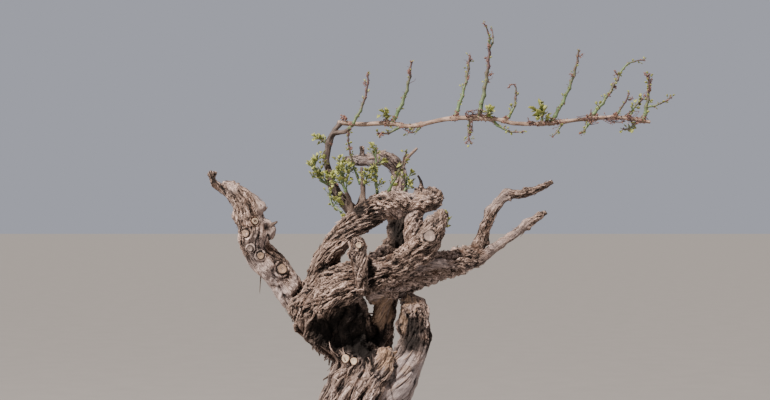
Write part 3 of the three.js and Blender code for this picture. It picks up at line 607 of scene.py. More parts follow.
class Wire:
    """A value or colour in a material, for use in Python expressions."""

    def __init__(self, nodes, socket):
        self.nodes, self.socket = nodes, socket

    def _math(self, operation, first, second=0.5):
        return self.nodes.add("ShaderNodeMath", {"operation": operation}, {0: first, 1: second})

    def __add__(self, other):
        return self._math("ADD", self, other)

    __radd__ = __add__

    def __sub__(self, other):
        return self._math("SUBTRACT", self, other)

    def __rsub__(self, other):
        return self._math("SUBTRACT", other, self)

    def __mul__(self, other):
        return self._math("MULTIPLY", self, other)

    __rmul__ = __mul__

    def fract(self):
        return self._math("FRACT", self)

    def clamp(self):
        return self.nodes.add("ShaderNodeClamp", {}, {0: self})

    def between(self, low, high):
        """0 at low, 1 at high, and straight between them."""
        return ((self - low) * (1.0 / (high - low))).clamp()

    def scaled(self, *factors):
        """A vector with each part multiplied."""
        return self.nodes.add("ShaderNodeVectorMath", {"operation": "MULTIPLY"}, {0: self, 1: factors})

    def part(self, axis):
        return self.nodes.add("ShaderNodeSeparateXYZ", {}, {0: self}, axis)

    def mix(self, other, factor):
        """This colour, changed to the other one by the factor."""
        return self.nodes.add("ShaderNodeMix", {"data_type": "RGBA"}, {0: factor, 6: self, 7: other}, 2)


class Finish:
    """A node material that is written as expressions."""

    def __init__(self, name, **constants):
        self.material = bpy.data.materials.new(name)
        self.material.use_nodes = True
        self.tree = self.material.node_tree
        self.shader = self.tree.nodes["Principled BSDF"]
        for socket, value in constants.items():
            self.shader.inputs[socket.replace("_", " ")].default_value = value

    def add(self, kind, settings, inputs, out=0):
        """Adds a node and gives the wire from one of its outputs."""
        node = self.tree.nodes.new(kind)
        for setting, value in settings.items():
            if setting == "stops":
                ramp = node.color_ramp
                while len(ramp.elements) < len(value):
                    ramp.elements.new(0.5)
                for element, (position, colour) in zip(ramp.elements, value):
                    element.position = position
                    element.color = (*colour, 1.0)
            else:
                setattr(node, setting, value)
        for key, value in inputs.items():
            socket = node.inputs[key]
            if isinstance(value, Wire):
                self.tree.links.new(value.socket, socket)
            elif socket.type == "RGBA":
                socket.default_value = (*value, 1.0)
            else:
                socket.default_value = value
        return Wire(self, node.outputs[out])

    def attribute(self, name, vector=False):
        return self.add("ShaderNodeAttribute", {"attribute_name": name}, {}, "Vector" if vector else "Fac")

    def place(self):
        return self.add("ShaderNodeTexCoord", {}, {}, "Object")

    def noise(self, vector, scale, detail, roughness, distortion=0.0):
        return self.add("ShaderNodeTexNoise", {}, {"Vector": vector, "Scale": scale, "Detail": detail,
                                                   "Roughness": roughness, "Distortion": distortion})

    def flakes(self, vector, scale, levels):
        """Overlapping scales: 0 at the foot of each, just below the one above it, and 1 at its lip."""
        return (self.noise(vector, scale, 2.0, 0.5, 0.4) * levels).fract()

    def ramp(self, value, stops):
        return self.add("ShaderNodeValToRGB", {"stops": stops}, {0: value})

    def colour(self, wire):
        self.tree.links.new(wire.socket, self.shader.inputs["Base Color"])

    def bump(self, height, distance, strength):
        inputs = {"Strength": strength, "Distance": distance, "Height": height}
        wire = self.add("ShaderNodeBump", {}, inputs)
        self.tree.links.new(wire.socket, self.shader.inputs["Normal"])


def shade(colour, factor):
    return tuple(c * factor for c in colour)


def blend_colours(first, second, share):
    return tuple(blend(a, b, share) for a, b in zip(first, second))


def bark_finish():
    """Old bark: near black in its cracks and at the foot of each scale, partly as painted shade, brown on its
    plates, pale on the lips of its scales with a painted highlight, and silver where it has worn smooth.
    """
    look = settings()
    finish = Finish("old_bark", Roughness=0.9, Specular_IOR_Level=0.2)
    grain = finish.attribute("grain", vector=True)
    relief = finish.attribute("relief")
    streaks = finish.noise(grain.scaled(1.0, 1.0, 0.2), 480.0, 4.0, 0.65)
    flecks = finish.noise(grain.scaled(1.0, 1.0, 0.5), 1300.0, 2.0, 0.6)
    wide_flakes = finish.flakes(grain.scaled(1.0, 1.0, 0.38), 90.0, 8.0)
    small_flakes = finish.flakes(grain.scaled(1.0, 1.0, 0.5), 230.0, 6.0)
    patches = finish.noise(grain.scaled(1.0, 1.0, 0.2), 48.0, 3.0, 0.55)
    worn_smooth = (finish.attribute("grey") - 0.25).between(0.0, 0.6)
    rough = 1.0 - worn_smooth * 0.75
    # Darker at the foot of each scale, just below the one above it: painted shade under the scales.
    under = (1.0 - wide_flakes.between(0.0, 0.2)) * 0.26 + (1.0 - small_flakes.between(0.0, 0.25)) * 0.12
    texture = (wide_flakes - 0.5) * 0.2 + (small_flakes - 0.5) * 0.14 - under
    height = (relief + texture * rough + 0.55 * (streaks - 0.5) + 0.35 * (flecks - 0.5)).clamp()
    dark, mid, pale, worn = look.bark_dark, look.bark_mid, look.bark_pale, look.bark_grey
    # Dark at low heights and brighter than the pale colour at the top: partly the bark's own tones, partly
    # painted shade in the cracks and a painted highlight on the lips.
    brown = finish.ramp(height, [
        (0.0, shade(dark, 0.6)), (0.2, dark), (0.38, shade(mid, 0.5)), (0.54, mid),
        (0.72, blend_colours(mid, pale, 0.6)), (0.86, pale), (1.0, shade(pale, 1.3))])
    silver = finish.ramp(height, [
        (0.0, shade(dark, 0.7)), (0.2, shade(worn, 0.25)), (0.42, shade(worn, 0.62)),
        (0.62, shade(worn, 0.9)), (0.9, shade(worn, 1.3))])
    amount = (finish.attribute("grey") + 0.9 * (patches - 0.5)).between(0.2, 1.0)
    tinted = brown.mix(silver, amount)
    rust = finish.noise(finish.place(), 55.0, 2.0, 0.5).between(0.54, 0.72) * 0.4
    tinted = tinted.mix(brown.mix(look.bark_rust, 0.5), rust)
    tan = look.wood_tan
    torn = finish.ramp((0.5 + 1.2 * (streaks - 0.5) + 0.5 * (relief - 0.5)).clamp(),
                       [(0.0, shade(tan, 0.12)), (0.35, shade(tan, 0.5)), (0.65, tan),
                        (1.0, look.wood_cream)])
    tinted = tinted.mix(torn, finish.attribute("bare"))
    # Near black at the dark patches: rotted hollows, and painted shade where the wood lies in shadow.
    finish.colour(tinted.mix(shade(dark, 0.3), finish.attribute("black")))
    bumps = (wide_flakes * 0.9 + small_flakes * 0.5) * rough + streaks * 0.7 + flecks * 0.4
    finish.bump(bumps, 0.001, 0.9)
    return finish.material


def strip_finish():
    """Loose bark: a little paler and drier than the bark under it, with fibres along it."""
    look = settings()
    finish = Finish("bark_strips", Roughness=0.9)
    mark = finish.attribute("strip", vector=True)
    fibres = finish.noise(mark.scaled(6.0, 90.0, 9.0), 1.0, 4.0, 0.65)
    height = (0.7 * mark.part(1) + 0.6 * (fibres - 0.5) + 0.12).clamp()
    mid = look.bark_mid
    finish.colour(finish.ramp(height, [(0.0, look.bark_dark), (0.3, shade(mid, 0.5)), (0.6, mid),
                                       (1.0, look.bark_pale)]))
    finish.bump(fibres, 0.0005, 0.8)
    return finish.material


def cut_finish(name, inner, outer, rim, ring_count):
    """The face of a cut: faint growth rings, stains, cracks from the middle and a darker rim."""
    finish = Finish(name, Roughness=0.8)
    mark = finish.attribute("face", vector=True)
    radius = mark.part(2)
    wobble = finish.noise(mark, 2.2, 3.0, 0.6)
    rings = finish.add("ShaderNodeMath", {"operation": "SINE"}, {0: (radius + 0.35 * wobble) * ring_count})
    stain = finish.noise(mark, 2.6, 5.0, 0.75)
    streaks = finish.noise(mark.scaled(9.0, 2.5, 1.0), 1.0, 3.0, 0.6)
    face = finish.ramp((0.5 + 0.08 * rings + 1.0 * (stain - 0.5) + 0.8 * (streaks - 0.5)).clamp(),
                       [(0.0, shade(outer, 0.3)), (0.3, shade(outer, 0.7)), (0.5, outer), (1.0, inner)])
    finish.colour(face.mix(rim, (radius + 0.5 * (stain - 0.5)).between(0.78, 1.02)))
    finish.bump(rings * 0.15 + stain + streaks * 0.6, 0.0006, 0.8)
    return finish.material


def splinter_finish():
    """Torn heartwood: tan, long-grained, darker in its cracks."""
    look = settings()
    finish = Finish("broken_wood", Roughness=0.85)
    mark = finish.attribute("strip", vector=True)
    fibres = finish.noise(mark.scaled(5.0, 0.0, 55.0), 1.0, 4.0, 0.65)
    tone = (0.5 * mark.part(1) + 1.1 * (fibres - 0.5) + 0.3).clamp()
    tan = look.wood_tan
    finish.colour(finish.ramp(tone, [(0.0, shade(tan, 0.16)), (0.35, shade(tan, 0.5)), (0.7, tan),
                                     (1.0, look.wood_cream)]))
    finish.bump(fibres, 0.0006, 0.9)
    return finish.material


def cane_finish():
    """Cane bark: brown with fine lengthwise fibres, older and greyer on the arm that carries it."""
    look = settings()
    finish = Finish("cane_bark", Roughness=0.72)
    grain = finish.attribute("grain", vector=True)
    age = finish.attribute("age")
    fibres = finish.noise(grain.scaled(1.0, 1.0, 0.07), 900.0, 4.0, 0.7)
    patches = finish.noise(finish.place(), 60.0, 3.0, 0.6)
    tone = (0.5 + 1.3 * (fibres - 0.5) + 0.8 * (patches - 0.5)).clamp()
    brown, pale = look.cane_brown, look.cane_pale
    young = finish.ramp(tone, [(0.1, shade(brown, 0.3)), (0.38, brown),
                               (0.62, blend_colours(brown, pale, 0.6)), (0.9, pale)])
    old = finish.ramp(tone, [(0.0, look.bark_dark), (0.42, shade(look.bark_mid, 0.2)),
                             (0.72, shade(look.bark_mid, 0.48)), (1.0, shade(look.bark_pale, 0.5))])
    finish.colour(young.mix(old, age))
    finish.bump(fibres, 0.0006, 0.8)
    return finish.material


def shoot_finish():
    """A green stem that ripens to purple brown towards its tip, in blotches."""
    look = settings()
    finish = Finish("shoot_skin", Roughness=0.5)
    mark = finish.attribute("stem", vector=True)
    ripe = mark.part(1)
    blotches = finish.noise(finish.place(), 160.0, 3.0, 0.6)
    streaks = finish.noise(finish.place(), 700.0, 2.0, 0.5)
    fresh, purple = look.shoot_green, look.shoot_purple
    green = finish.ramp(streaks * 0.6 + blotches * 0.4,
                        [(0.25, shade(fresh, 0.6)), (0.5, fresh), (0.75, shade(fresh, 1.35))])
    brown = finish.ramp(streaks, [(0.25, shade(purple, 0.45)), (0.6, purple), (0.8, shade(purple, 1.6))])
    finish.colour(green.mix(brown, (ripe + 0.8 * (blotches - 0.5)).between(0.25, 0.75)))
    finish.bump(streaks, 0.0003, 0.5)
    return finish.material


def leaf_finish(name, colour):
    """A small leaf: its base colour, with paler veins, a browner edge and fine mottling."""
    finish = Finish(name, Roughness=0.55)
    mark = finish.attribute("blade", vector=True)
    from_vein, to_edge = mark.part(0), mark.part(1)
    mottle = finish.noise(finish.place(), 420.0, 3.0, 0.6)
    body = finish.ramp(mottle, [(0.3, shade(colour, 0.62)), (0.5, colour), (0.72, shade(colour, 1.35))])
    veined = body.mix(shade(colour, 1.6), 0.5 - 0.5 * from_vein.between(0.0, 0.3))
    rusty = settings().leaf_bronze
    finish.colour(veined.mix(rusty, to_edge.between(0.72, 1.0) * 0.3))
    finish.bump(mottle, 0.0003, 0.6)
    return finish.material


def withered_finish(name, colour):
    """Dried flowers or bud scales: their colour, mottled from dark to pale."""
    finish = Finish(name, Roughness=0.8)
    mottle = finish.noise(finish.place(), 500.0, 3.0, 0.6)
    tones = [(0.25, shade(colour, 0.35)), (0.5, colour), (0.8, shade(colour, 1.8))]
    finish.colour(finish.ramp(mottle, tones))
    finish.bump(mottle, 0.0004, 0.7)
    return finish.material


# Old wood.


def stub_of(limb, cut):
    """The stub of a pruned spur, as a turned cylinder."""
    at, turn, radius, stand = cut
    tip, out, _ = on_limb(limb, at, turn, stand)
    reach = surface_radius(limb, np.array([at]), np.radians([turn]))[0]
    inner = tip - out * (0.5 * reach + stand)
    deselect_all()
    turned = Vector(out).to_track_quat("Z", "Y").to_euler()
    bpy.ops.mesh.primitive_cone_add(
        vertices=20,
        radius1=1.25 * radius * MM,
        radius2=radius * MM,
        depth=float(np.linalg.norm(tip - inner)) * MM,
        location=(tip + inner) / 2 * MM,
        rotation=turned,
    )
    bpy.ops.object.transform_apply(location=True, rotation=True, scale=True)
    return bpy.context.object


def limb_places(points):
    """For each limb, the points near it and where each lies on it: how far out of it, how far along it and
    at what turn, with the limb's girth there."""
    for name, limb in LIMBS.items():
        length = length_of(limb)
        fine = np.linspace(0, 1, 401)
        hops = np.linalg.norm(np.diff(spline(limb["line"], fine), axis=0), axis=1)
        run = np.concatenate([[0], np.cumsum(hops)])
        stops = np.linspace(0, run[-1], max(6, int(run[-1] / 4)))
        middle, along, front, side, girth = rail(limb, np.interp(stops, run, fine))
        reach = girth.max() * 1.25 + 20
        inside = np.all((points > middle.min(0) - reach) & (points < middle.max(0) + reach), axis=1)
        chosen = np.flatnonzero(inside)
        nearest = np.empty(len(chosen), int)
        for first in range(0, len(chosen), 20000):
            part = slice(first, first + 20000)
            apart = np.linalg.norm(points[chosen[part], None] - middle[None], axis=2) - girth[None]
            nearest[part] = apart.argmin(axis=1)
        away = points[chosen] - middle[nearest]
        forward = (away * along[nearest]).sum(1)
        flat = away - forward[:, None] * along[nearest]
        out = np.linalg.norm(away, axis=1) - girth[nearest]
        angle = np.arctan2((flat * side[nearest]).sum(1), (flat * front[nearest]).sum(1))
        yield name, limb, chosen, out, stops[nearest] + forward, angle, girth[nearest], length


def straightened(limb, run, angle, girth, length):
    """Where a point would lie on its limb made straight, with its grain unwound: twice across, and along."""
    turned = angle - limb["bark"]["wind"] * run / length
    return np.stack([girth * np.cos(turned), girth * np.sin(turned), run], axis=1)


def layered(place, wide, long, levels, seed):
    """Overlapping plates: how high a point lies, how deep in the crack below a plate, how near its edge."""
    size = np.array([wide, wide, long])
    field = noise(place, size, seed) + 0.22 * noise(place, 0.4 * size, seed + 1)
    ladder = levels * field
    floor = np.floor(ladder)
    part = ladder - floor
    rise = (floor + 0.2 * part + 0.8 * step_up(part, 0.74, 1.0)) / levels
    return rise, hump(part - 0.72, 0.1), hump(part, 0.14)


def bark_height(place, bark, girth, seed):
    """The relief of one kind of bark at straightened places: its height in millimetres, its share of full
    height, which colours it, and how far it has worn smooth."""
    wide = bark["width"]
    long = wide * bark["grain"]
    sway = np.stack([noise(place, (30, 30, 55), seed + 1), noise(place, (30, 30, 55), seed + 2)], axis=1)
    bent = place.copy()
    bent[:, :2] += 5 * sway
    coarse, crack, edge = layered(bent, wide, long, 2.3, seed + 3)
    fine, hair, lip = layered(bent, 0.4 * wide, 0.8 * long, 1.6, seed + 5)
    splits = hump(noise(bent, (1.7 * wide, 1.7 * wide, 2.4 * long), seed + 7), 0.075)
    splits = splits * step_up(noise(place, (38, 38, 60), seed + 8), -0.25, 0.3)
    fibres = noise(bent, (2.4, 2.4, 5 * bark["grain"]), seed + 9)
    lumps = noise(place, (25, 25, 32), seed + 10) + 0.5 * noise(place, (11, 11, 14), seed + 11)
    calm = step_up(noise(place, (34, 34, 80), seed + 12) + bark["calm"] - 0.35, -0.1, 0.5)
    knobs = np.maximum(noise(place, (8, 8, 9), seed + 13), -0.15)
    weave = noise(bent, (15, 15, 130), seed + 15)
    strands = np.minimum(2.4 * np.abs(weave), 1) - 0.55
    seams = hump(weave, 0.09) * min(1.0, bark["strand"] / 2.5)
    size = np.clip(girth / 24, 0.35, 1.1)
    rough = 1 - 0.72 * calm
    height = bark["plate"] * (coarse + 0.45 * fine - 0.5 * crack - 0.15 * hair) * rough
    height = height - bark["split"] * splits + bark["fibre"] * fibres + bark["lump"] * lumps
    height = height + 1.6 * bark["knob"] * knobs
    height = size * (height + bark["strand"] * (strands - 0.5 * seams))
    # The colour share is darkest in the splits, the seams and the cracks below each plate and palest on the
    # plates' edges and lips and on the knobs: partly the bark's own tones, partly painted shade in the cracks
    # and a painted highlight on the edges.
    share = 0.5 + 0.16 * coarse + 0.08 * fine - 0.42 * crack - 0.14 * hair + 0.1 * edge + 0.06 * lip
    share = share + 0.12 * fibres + 0.12 * bark["knob"] * knobs + 0.1 * strands - 0.34 * seams
    share = share * rough + (1 - rough) * (0.56 + 0.1 * fibres) - 0.55 * splits
    return height, share, calm


def wound_fields(points, height, share):
    """Raises a lip round each cut, lowers the face inside it, sinks the rotted hollows and gives how black
    the dark patches of rot and painted shade make the wood.
    """
    for limb in LIMBS.values():
        for at, turn, radius, stand in limb.get("cuts", ()):
            tip, out, _ = on_limb(limb, at, turn, stand)
            away = points - tip
            deep = away @ out
            beside = np.linalg.norm(away - deep[:, None] * out, axis=1)
            near = (np.abs(deep) < 9) & (beside < 2.4 * radius)
            calm = hump(np.maximum(beside - 1.2 * radius, 0), 2.5) * near
            height *= 1 - 0.8 * calm
            beside = beside + 0.8 * noise(points, (6, 6, 6), 905)
            lip = hump(beside - 1.3 * radius, 0.14 * radius + 0.5) * near
            moat = hump(beside - 0.98 * radius, 0.1 * radius + 0.5) * near
            outer = hump(beside - 1.62 * radius, 0.1 * radius + 0.4) * near
            height += 1.5 * lip - 1.6 * moat - 0.5 * outer
            share += 0.12 * calm + 0.08 * lip - 0.62 * moat - 0.32 * outer
    # How black the wood turns: rot in the hollows, and painted shade in the patches that stand for shadow.
    painted_shade_and_rot = np.zeros(len(points))
    for middle, radius, depth, black in DARK_ROT_AND_PAINTED_SHADE:
        apart = np.linalg.norm(points - np.array(middle), axis=1) / radius
        apart = apart * (1 + 0.2 * noise(points, (14, 14, 14), 901))
        pit = np.exp(-(apart**4))
        height -= depth * pit
        painted_shade_and_rot = 1 - (1 - painted_shade_and_rot) * (1 - black * pit)
    bare = np.zeros(len(points))
    for middle, radius, amount in BARE:
        apart = np.linalg.norm(points - np.array(middle), axis=1) / radius
        apart = apart + 0.35 * noise(points, (7, 7, 16), 903)
        bare = np.maximum(bare, amount * step_up(1.15 - apart, 0, 0.35))
    height -= 1.2 * bare
    return height, share, painted_shade_and_rot * (1 - 0.8 * bare), bare


def own_bark(name, limb, index, place, high, run, angle, girth, length):
    """A limb's own bark at its straightened places: its height, its share of full height and how grey it is.
    high is how far above the ground the places are."""
    bark = limb["bark"]
    rise, part, calm = bark_height(place, bark, girth, 20 * index)
    dull = bark["grey"] + 0.35 * calm
    if name == "trunk":
        top = step_up(high, 335, 395)
        # Darker in the furrows between the trunk's ribs: partly painted shade.
        furrow = step_up(-rib_wave(limb["ribs"], run / length, angle), 0.3, 1.0)
        rise_head, part_head, _ = bark_height(place, HEAD_BARK, girth, 20 * index + 7)
        rise, part = blend(rise - 1.2 * furrow, rise_head, top), blend(part - 0.3 * furrow, part_head, top)
        dull = blend(dull, HEAD_BARK["grey"], top)
    if name == "left_arm":
        worn = hump(angle + 1.6, 0.8) * step_up(run, 60, 100) * (1 - step_up(run, 150, 195))
        rise = rise * (1 - 0.7 * worn)
        part = part * (1 - 0.8 * worn) + 0.8 * worn * (0.67 + 0.1 * noise(place, (4, 4, 60), 911))
        dull = dull + 0.7 * worn
        part = part + 0.08
    if bark is CURLY:
        part = part + 0.1
    if name == "back_arm":
        bleached = step_up(high, 618, 655)
        rise, part = rise * (1 - 0.4 * bleached), part + 0.16 * bleached
        dull = dull + 0.45 * bleached
    if bark is SPUR:
        joints = run / SPUR_JOINT + 0.37 * index + 0.18 * noise(place, (40, 40, 60), 915)
        apart = SPUR_JOINT * (joints % 1 - 0.5)
        one_side = np.maximum(np.cos(angle + 2.2 * np.floor(joints)), 0) ** 2
        bud = hump(apart, 4.6) * (0.12 + 0.88 * one_side)
        rise, part = rise + 4.2 * bud, part + 0.1 * bud - 0.2 * one_side * hump(apart - 6, 1.6)
    if name == "side_stub":
        torn = step_up(run + 9 * noise(place, (12, 12, 20), 917), 96, 140)
        rise_torn, part_torn, _ = bark_height(place, STRINGY, girth, 20 * index + 5)
        rise, part = blend(rise, rise_torn, torn), blend(part, part_torn, torn)
        dull = dull - 0.65 * torn
    return rise, part, dull


def dress_wood(wood):
    """Gives the joined wood its relief, and marks each point with its grain and what colours it."""
    points, facing = points_of(wood), read_vectors(wood, "normal")
    places = list(limb_places(points))
    closest = np.full(len(points), 1e9)
    for _, _, chosen, out, *_ in places:
        closest[chosen] = np.minimum(closest[chosen], out)
    total = np.full(len(points), 1e-9)
    height, share, grey = np.zeros(len(points)), np.zeros(len(points)), np.zeros(len(points))
    grain = np.zeros((len(points), 3))
    strongest, second = np.zeros(len(points)), np.zeros(len(points))
    for index, (name, limb, chosen, out, run, angle, girth, length) in enumerate(places):
        near = out < closest[chosen] + 11
        chosen, out, run, angle, girth = chosen[near], out[near], run[near], angle[near], girth[near]
        if not len(chosen):
            continue
        place = straightened(limb, run, angle, girth, length)
        rise, part, dull = own_bark(name, limb, index, place, points[chosen, 2], run, angle, girth, length)
        weight = np.exp(-np.clip(out, -12, 40) / 3.5)
        total[chosen] += weight
        height[chosen] += weight * rise
        share[chosen] += weight * part
        grey[chosen] += weight * dull
        better = weight > strongest[chosen]
        second[chosen] = np.where(better, strongest[chosen], np.maximum(second[chosen], weight))
        strongest[chosen] = np.maximum(strongest[chosen], weight)
        grain[chosen[better]] = place[better] + 400 * index
    height, share, grey = height / total, share / total, grey / total
    # Darker where two limbs meet: painted shade in the crotch between them.
    share = share - 0.25 * step_up(second / np.maximum(strongest, 1e-9), 0.45, 1.0)
    height, share, painted_shade_and_rot, bare = wound_fields(points, height, share)
    move_points(wood, points + facing * height[:, None])
    write_attribute(wood, "relief", np.clip(share, 0, 1))
    write_attribute(wood, "grey", np.clip(grey, 0, 1))
    # How black each point is, from rot and from painted shade.
    write_attribute(wood, "black", painted_shade_and_rot)
    write_attribute(wood, "bare", bare)
    write_attribute(wood, "grain", grain * MM)


def part_of(wood, name, cuts):
    """A closed part of the wood between planes of (point, direction to leave out), as a piece of its own."""
    make_active(wood)
    bpy.ops.object.duplicate()
    piece = bpy.context.object
    piece.name = piece.data.name = name
    set_mode("EDIT")
    for point, direction in cuts:
        select_whole_mesh()
        bpy.ops.mesh.bisect(plane_co=Vector(point) * MM, plane_no=direction, use_fill=True,
                            clear_outer=True)
        bpy.ops.mesh.mark_sharp()
    select_whole_mesh()
    bpy.ops.mesh.quads_convert_to_tris(quad_method="BEAUTY", ngon_method="BEAUTY")
    set_mode("OBJECT")
    return piece


class VINE_OT_wood(bpy.types.Operator):
    """Grow the trunk and the old arms as one mesh with the bark's relief, and part it into pieces"""

    bl_idname = "vine.wood"
    bl_label = "Old wood"

    def execute(self, context):
        look = settings()
        tubes = [limb_tube(name, limb, 128 if "ribs" in limb else 28, 5.0) for name, limb in LIMBS.items()]
        tubes += [stub_of(limb, cut) for limb in LIMBS.values() for cut in limb.get("cuts", ())]
        wood = join_pieces("wood", tubes)
        apply_modifier(wood, "REMESH", mode="VOXEL", voxel_size=look.bark_grid, use_smooth_shade=True)
        apply_modifier(wood, "SMOOTH", factor=0.5, iterations=8)
        dress_wood(wood)
        apply_modifier(wood, "SMOOTH", factor=0.3, iterations=1)
        material = bark_finish()
        ground, waist, neck, brow = (0, 0, 0), (0, 0, 170), (0, 0, 338), (0, 0, 512)
        shoulder, elbow = (-92, 0, 0), (70, 0, 0)
        down, up, left, right = (0, 0, -1), (0, 0, 1), (-1, 0, 0), (1, 0, 0)
        parts = {
            "trunk_foot": ([(ground, down), (waist, up)], ["trunk"]),
            "trunk_top": ([(waist, down), (neck, up)], ["trunk", "side_stub", "cleft_stub"]),
            "left_arm_wood": ([(neck, down), (shoulder, right)], ["left_arm", "left_spur"]),
            "head_wood": ([(neck, down), (brow, up), (shoulder, left), (elbow, right)],
                          ["trunk", "middle_stem", "arch_rise", "front_arm", "front_stub", "back_arm",
                           "right_arm"]),
            "right_wood": ([(neck, down), (brow, up), (elbow, left)],
                           ["side_stub", "middle_stem", "front_arm", "right_arm", "back_arm"]),
            "arch_wood": ([(brow, down), (shoulder, left), (elbow, right)],
                          ["arch_rise", "arch_top", "front_stub", "back_arm_top", "back_peg"]),
            "upper_right_wood": ([(brow, down), (elbow, left)],
                                 ["arch_top", "arch_peg", "front_arm", "bridge_arm", "right_arm",
                                  "right_upper_spur", "right_lower_spur", "back_arm", "back_arm_top"]),
        }
        for name, (cuts, nodes) in parts.items():
            piece = part_of(wood, name, cuts)
            finish_piece(piece, [material], nodes)
        bpy.data.objects.remove(wood)
        return {"FINISHED"}


WOOD_PIECES = ("trunk_foot", "trunk_top", "left_arm_wood", "head_wood", "right_wood", "arch_wood",
               "upper_right_wood")


def bark_surface():
    """The dressed wood as one tree to search for the surface in, in millimetres."""
    points, faces, first = [], [], 0
    for name in WOOD_PIECES:
        piece = bpy.data.objects[name]
        corners = np.empty(len(piece.data.loops), int)
        piece.data.loops.foreach_get("vertex_index", corners)
        points.append(points_of(piece))
        faces.append(corners.reshape(-1, 3) + first)
        first += len(piece.data.vertices)
    return BVHTree.FromPolygons(np.vstack(points).tolist(), np.vstack(faces).tolist(), all_triangles=True)


def strip_points(path, outs, width, thick, tone, chance):
    """A thin closed strip along a path, sharp at its sides and ragged towards its ends."""
    rows = len(path)
    tangents = unit(np.gradient(path, axis=0))
    sides = unit(np.cross(outs, tangents))
    shares = np.linspace(0, 1, rows)
    ragged = np.array([chance.uniform(0.7, 1.3) for _ in range(rows)])
    widths = width * np.maximum(np.sin(np.pi * (0.04 + 0.92 * shares)), 0.08) ** 0.6 * ragged
    skew = np.array([chance.gauss(0, 0.12) for _ in range(rows)]) * width
    points, marks = [], []
    for row in range(rows):
        middle = path[row] + sides[row] * skew[row]
        half = sides[row] * widths[row] / 2
        up = outs[row] * thick / 2
        curl = outs[row] * 0.22 * widths[row]
        points += [middle - half - curl, middle + up, middle + half - curl, middle - up]
        marks += [(shares[row], tone, side) for side in (0.0, 0.5, 1.0, 0.5)]
    faces = [(4 * r + k, 4 * r + 4 + k, 4 * r + 4 + (k + 1) % 4, 4 * r + (k + 1) % 4)
             for r in range(rows - 1) for k in range(4)]
    faces += [(0, 1, 2, 3), (4 * rows - 1, 4 * rows - 2, 4 * rows - 3, 4 * rows - 4)]
    return points, faces, marks


# How far out of a limb its surface is searched from, and how far off the expected place it may be found.
SEARCH_OUT, SEARCH_OFF = 14, 11


def surface_path(tree, limb, start, turn, length, drift, rows=8):
    """A path over the real surface of a limb, along its grain, or None where another limb is in the way."""
    whole = length_of(limb)
    wind = limb["bark"]["wind"]
    shares = start + np.linspace(0, length / whole, rows)
    if shares[-1] > 1.0:
        return None
    middle, _, front, side, _ = rail(limb, shares)
    angles = turn + wind * (shares - start) + drift * np.linspace(-0.5, 0.5, rows)
    outs = front * np.cos(angles)[:, None] + side * np.sin(angles)[:, None]
    expected = surface_radius(limb, shares, angles)
    path = []
    for row in range(rows):
        begin = middle[row] + outs[row] * (expected[row] + SEARCH_OUT)
        hit, _, _, distance = tree.ray_cast(Vector(begin), Vector(-outs[row]), 30)
        if hit is None or abs(distance - SEARCH_OUT) > SEARCH_OFF:
            return None
        path.append(np.array(hit))
    return np.array(path), outs


# Shreds of bark that hang off the wood: where, direction, width and length.
SHREDS = [
    ((-161, 4, 500), (-0.05, -0.1, -1), 2.0, 30), ((-118, 0, 456), (0.2, -0.1, -1), 3.0, 9),
    ((-50, -14, 318), (-0.7, -0.2, -0.5), 4.0, 13), ((46, -64, 456), (0.1, -0.2, -1), 4.0, 8),
    ((58, -60, 470), (0.2, -0.3, -1), 3.0, 9), ((88, -54, 476), (0.1, -0.3, -1), 4.0, 7),
    ((132, -34, 478), (0.1, -0.2, -1), 3.0, 6), ((178, -24, 494), (0, -0.2, -1), 3.0, 6),
]

# Broken corners that stand out of the limbs' ends and torn tops: where, direction, width and length.
JAGS = [
    ((150, -36, 638), (0.55, -0.2, 0.85), 10, 15), ((156, -34, 634), (0.95, -0.1, 0.35), 9, 14),
    ((144, -42, 640), (0.15, -0.3, 0.95), 9, 13), ((154, -42, 624), (0.75, -0.3, -0.35), 8, 12),
    ((134, -38, 640), (-0.2, -0.4, 0.9), 8, 11), ((150, -30, 640), (0.7, 0.3, 0.7), 8, 12),
    ((158, -58, 606), (0.25, -0.2, 1), 10, 14), ((150, -62, 604), (-0.35, -0.3, 0.9), 9, 12),
    ((162, -54, 602), (0.8, 0, 0.6), 8, 11), ((120, -34, 642), (0.1, -0.4, 0.9), 9, 9),
    ((-222, -10, 656), (0.3, -0.2, 0.9), 6, 9), ((-212, -12, 650), (0.6, -0.2, 0.7), 7, 8),
    ((2, -88, 550), (-0.4, -0.1, 0.9), 9, 15), ((13, -92, 550), (0.25, 0, 1), 9, 13),
    ((20, -86, 548), (0.5, 0, 0.8), 8, 10), ((112, -46, 440), (0.55, -0.4, 0.7), 12, 14),
    ((96, -48, 438), (-0.5, -0.5, 0.7), 11, 12), ((108, -34, 448), (0.3, 0.1, 1), 12, 12),
    ((96, -30, 448), (-0.4, 0.1, 0.9), 10, 12), ((124, -36, 420), (0.9, -0.2, 0.3), 9, 11),
    ((-140, -14, 590), (0.8, -0.3, 0.5), 9, 12), ((-150, -14, 612), (0.7, -0.3, 0.6), 7, 10),
]


# How much loose bark hangs on each limb: its density, length and width.
LOOSE_BARK = dict(
    trunk=(1.0, 34, 4.6), front_arm=(1.5, 17, 3.4), arch_rise=(1.2, 26, 3.2), arch_top=(0.9, 15, 3.0),
    right_arm=(1.4, 15, 3.2), left_arm=(0.15, 16, 2.2), side_stub=(0.2, 24, 3.4),
    middle_stem=(0.9, 20, 3.0), back_arm=(1.1, 20, 3.2), back_arm_top=(0.9, 12, 2.6),
    front_stub=(1.3, 16, 2.8), bridge_arm=(0.9, 13, 2.8), cleft_stub=(0.8, 14, 3.0),
    right_upper_spur=(0.3, 9, 1.6), right_lower_spur=(0.25, 9, 1.6),
)

# Square millimetres of bark on the whole vine, about, and how far loose bark keeps from the ground.
BARK_AREA = 560000
GROUND_GAP = 4


def in_dark_patch(point):
    """Whether a point lies in a nearly black patch of rot and painted shade, where no loose bark shows."""
    return any(black > 0.7 and math.dist(point, middle) < radius for middle, radius, _, black in DARK_ROT_AND_PAINTED_SHADE)


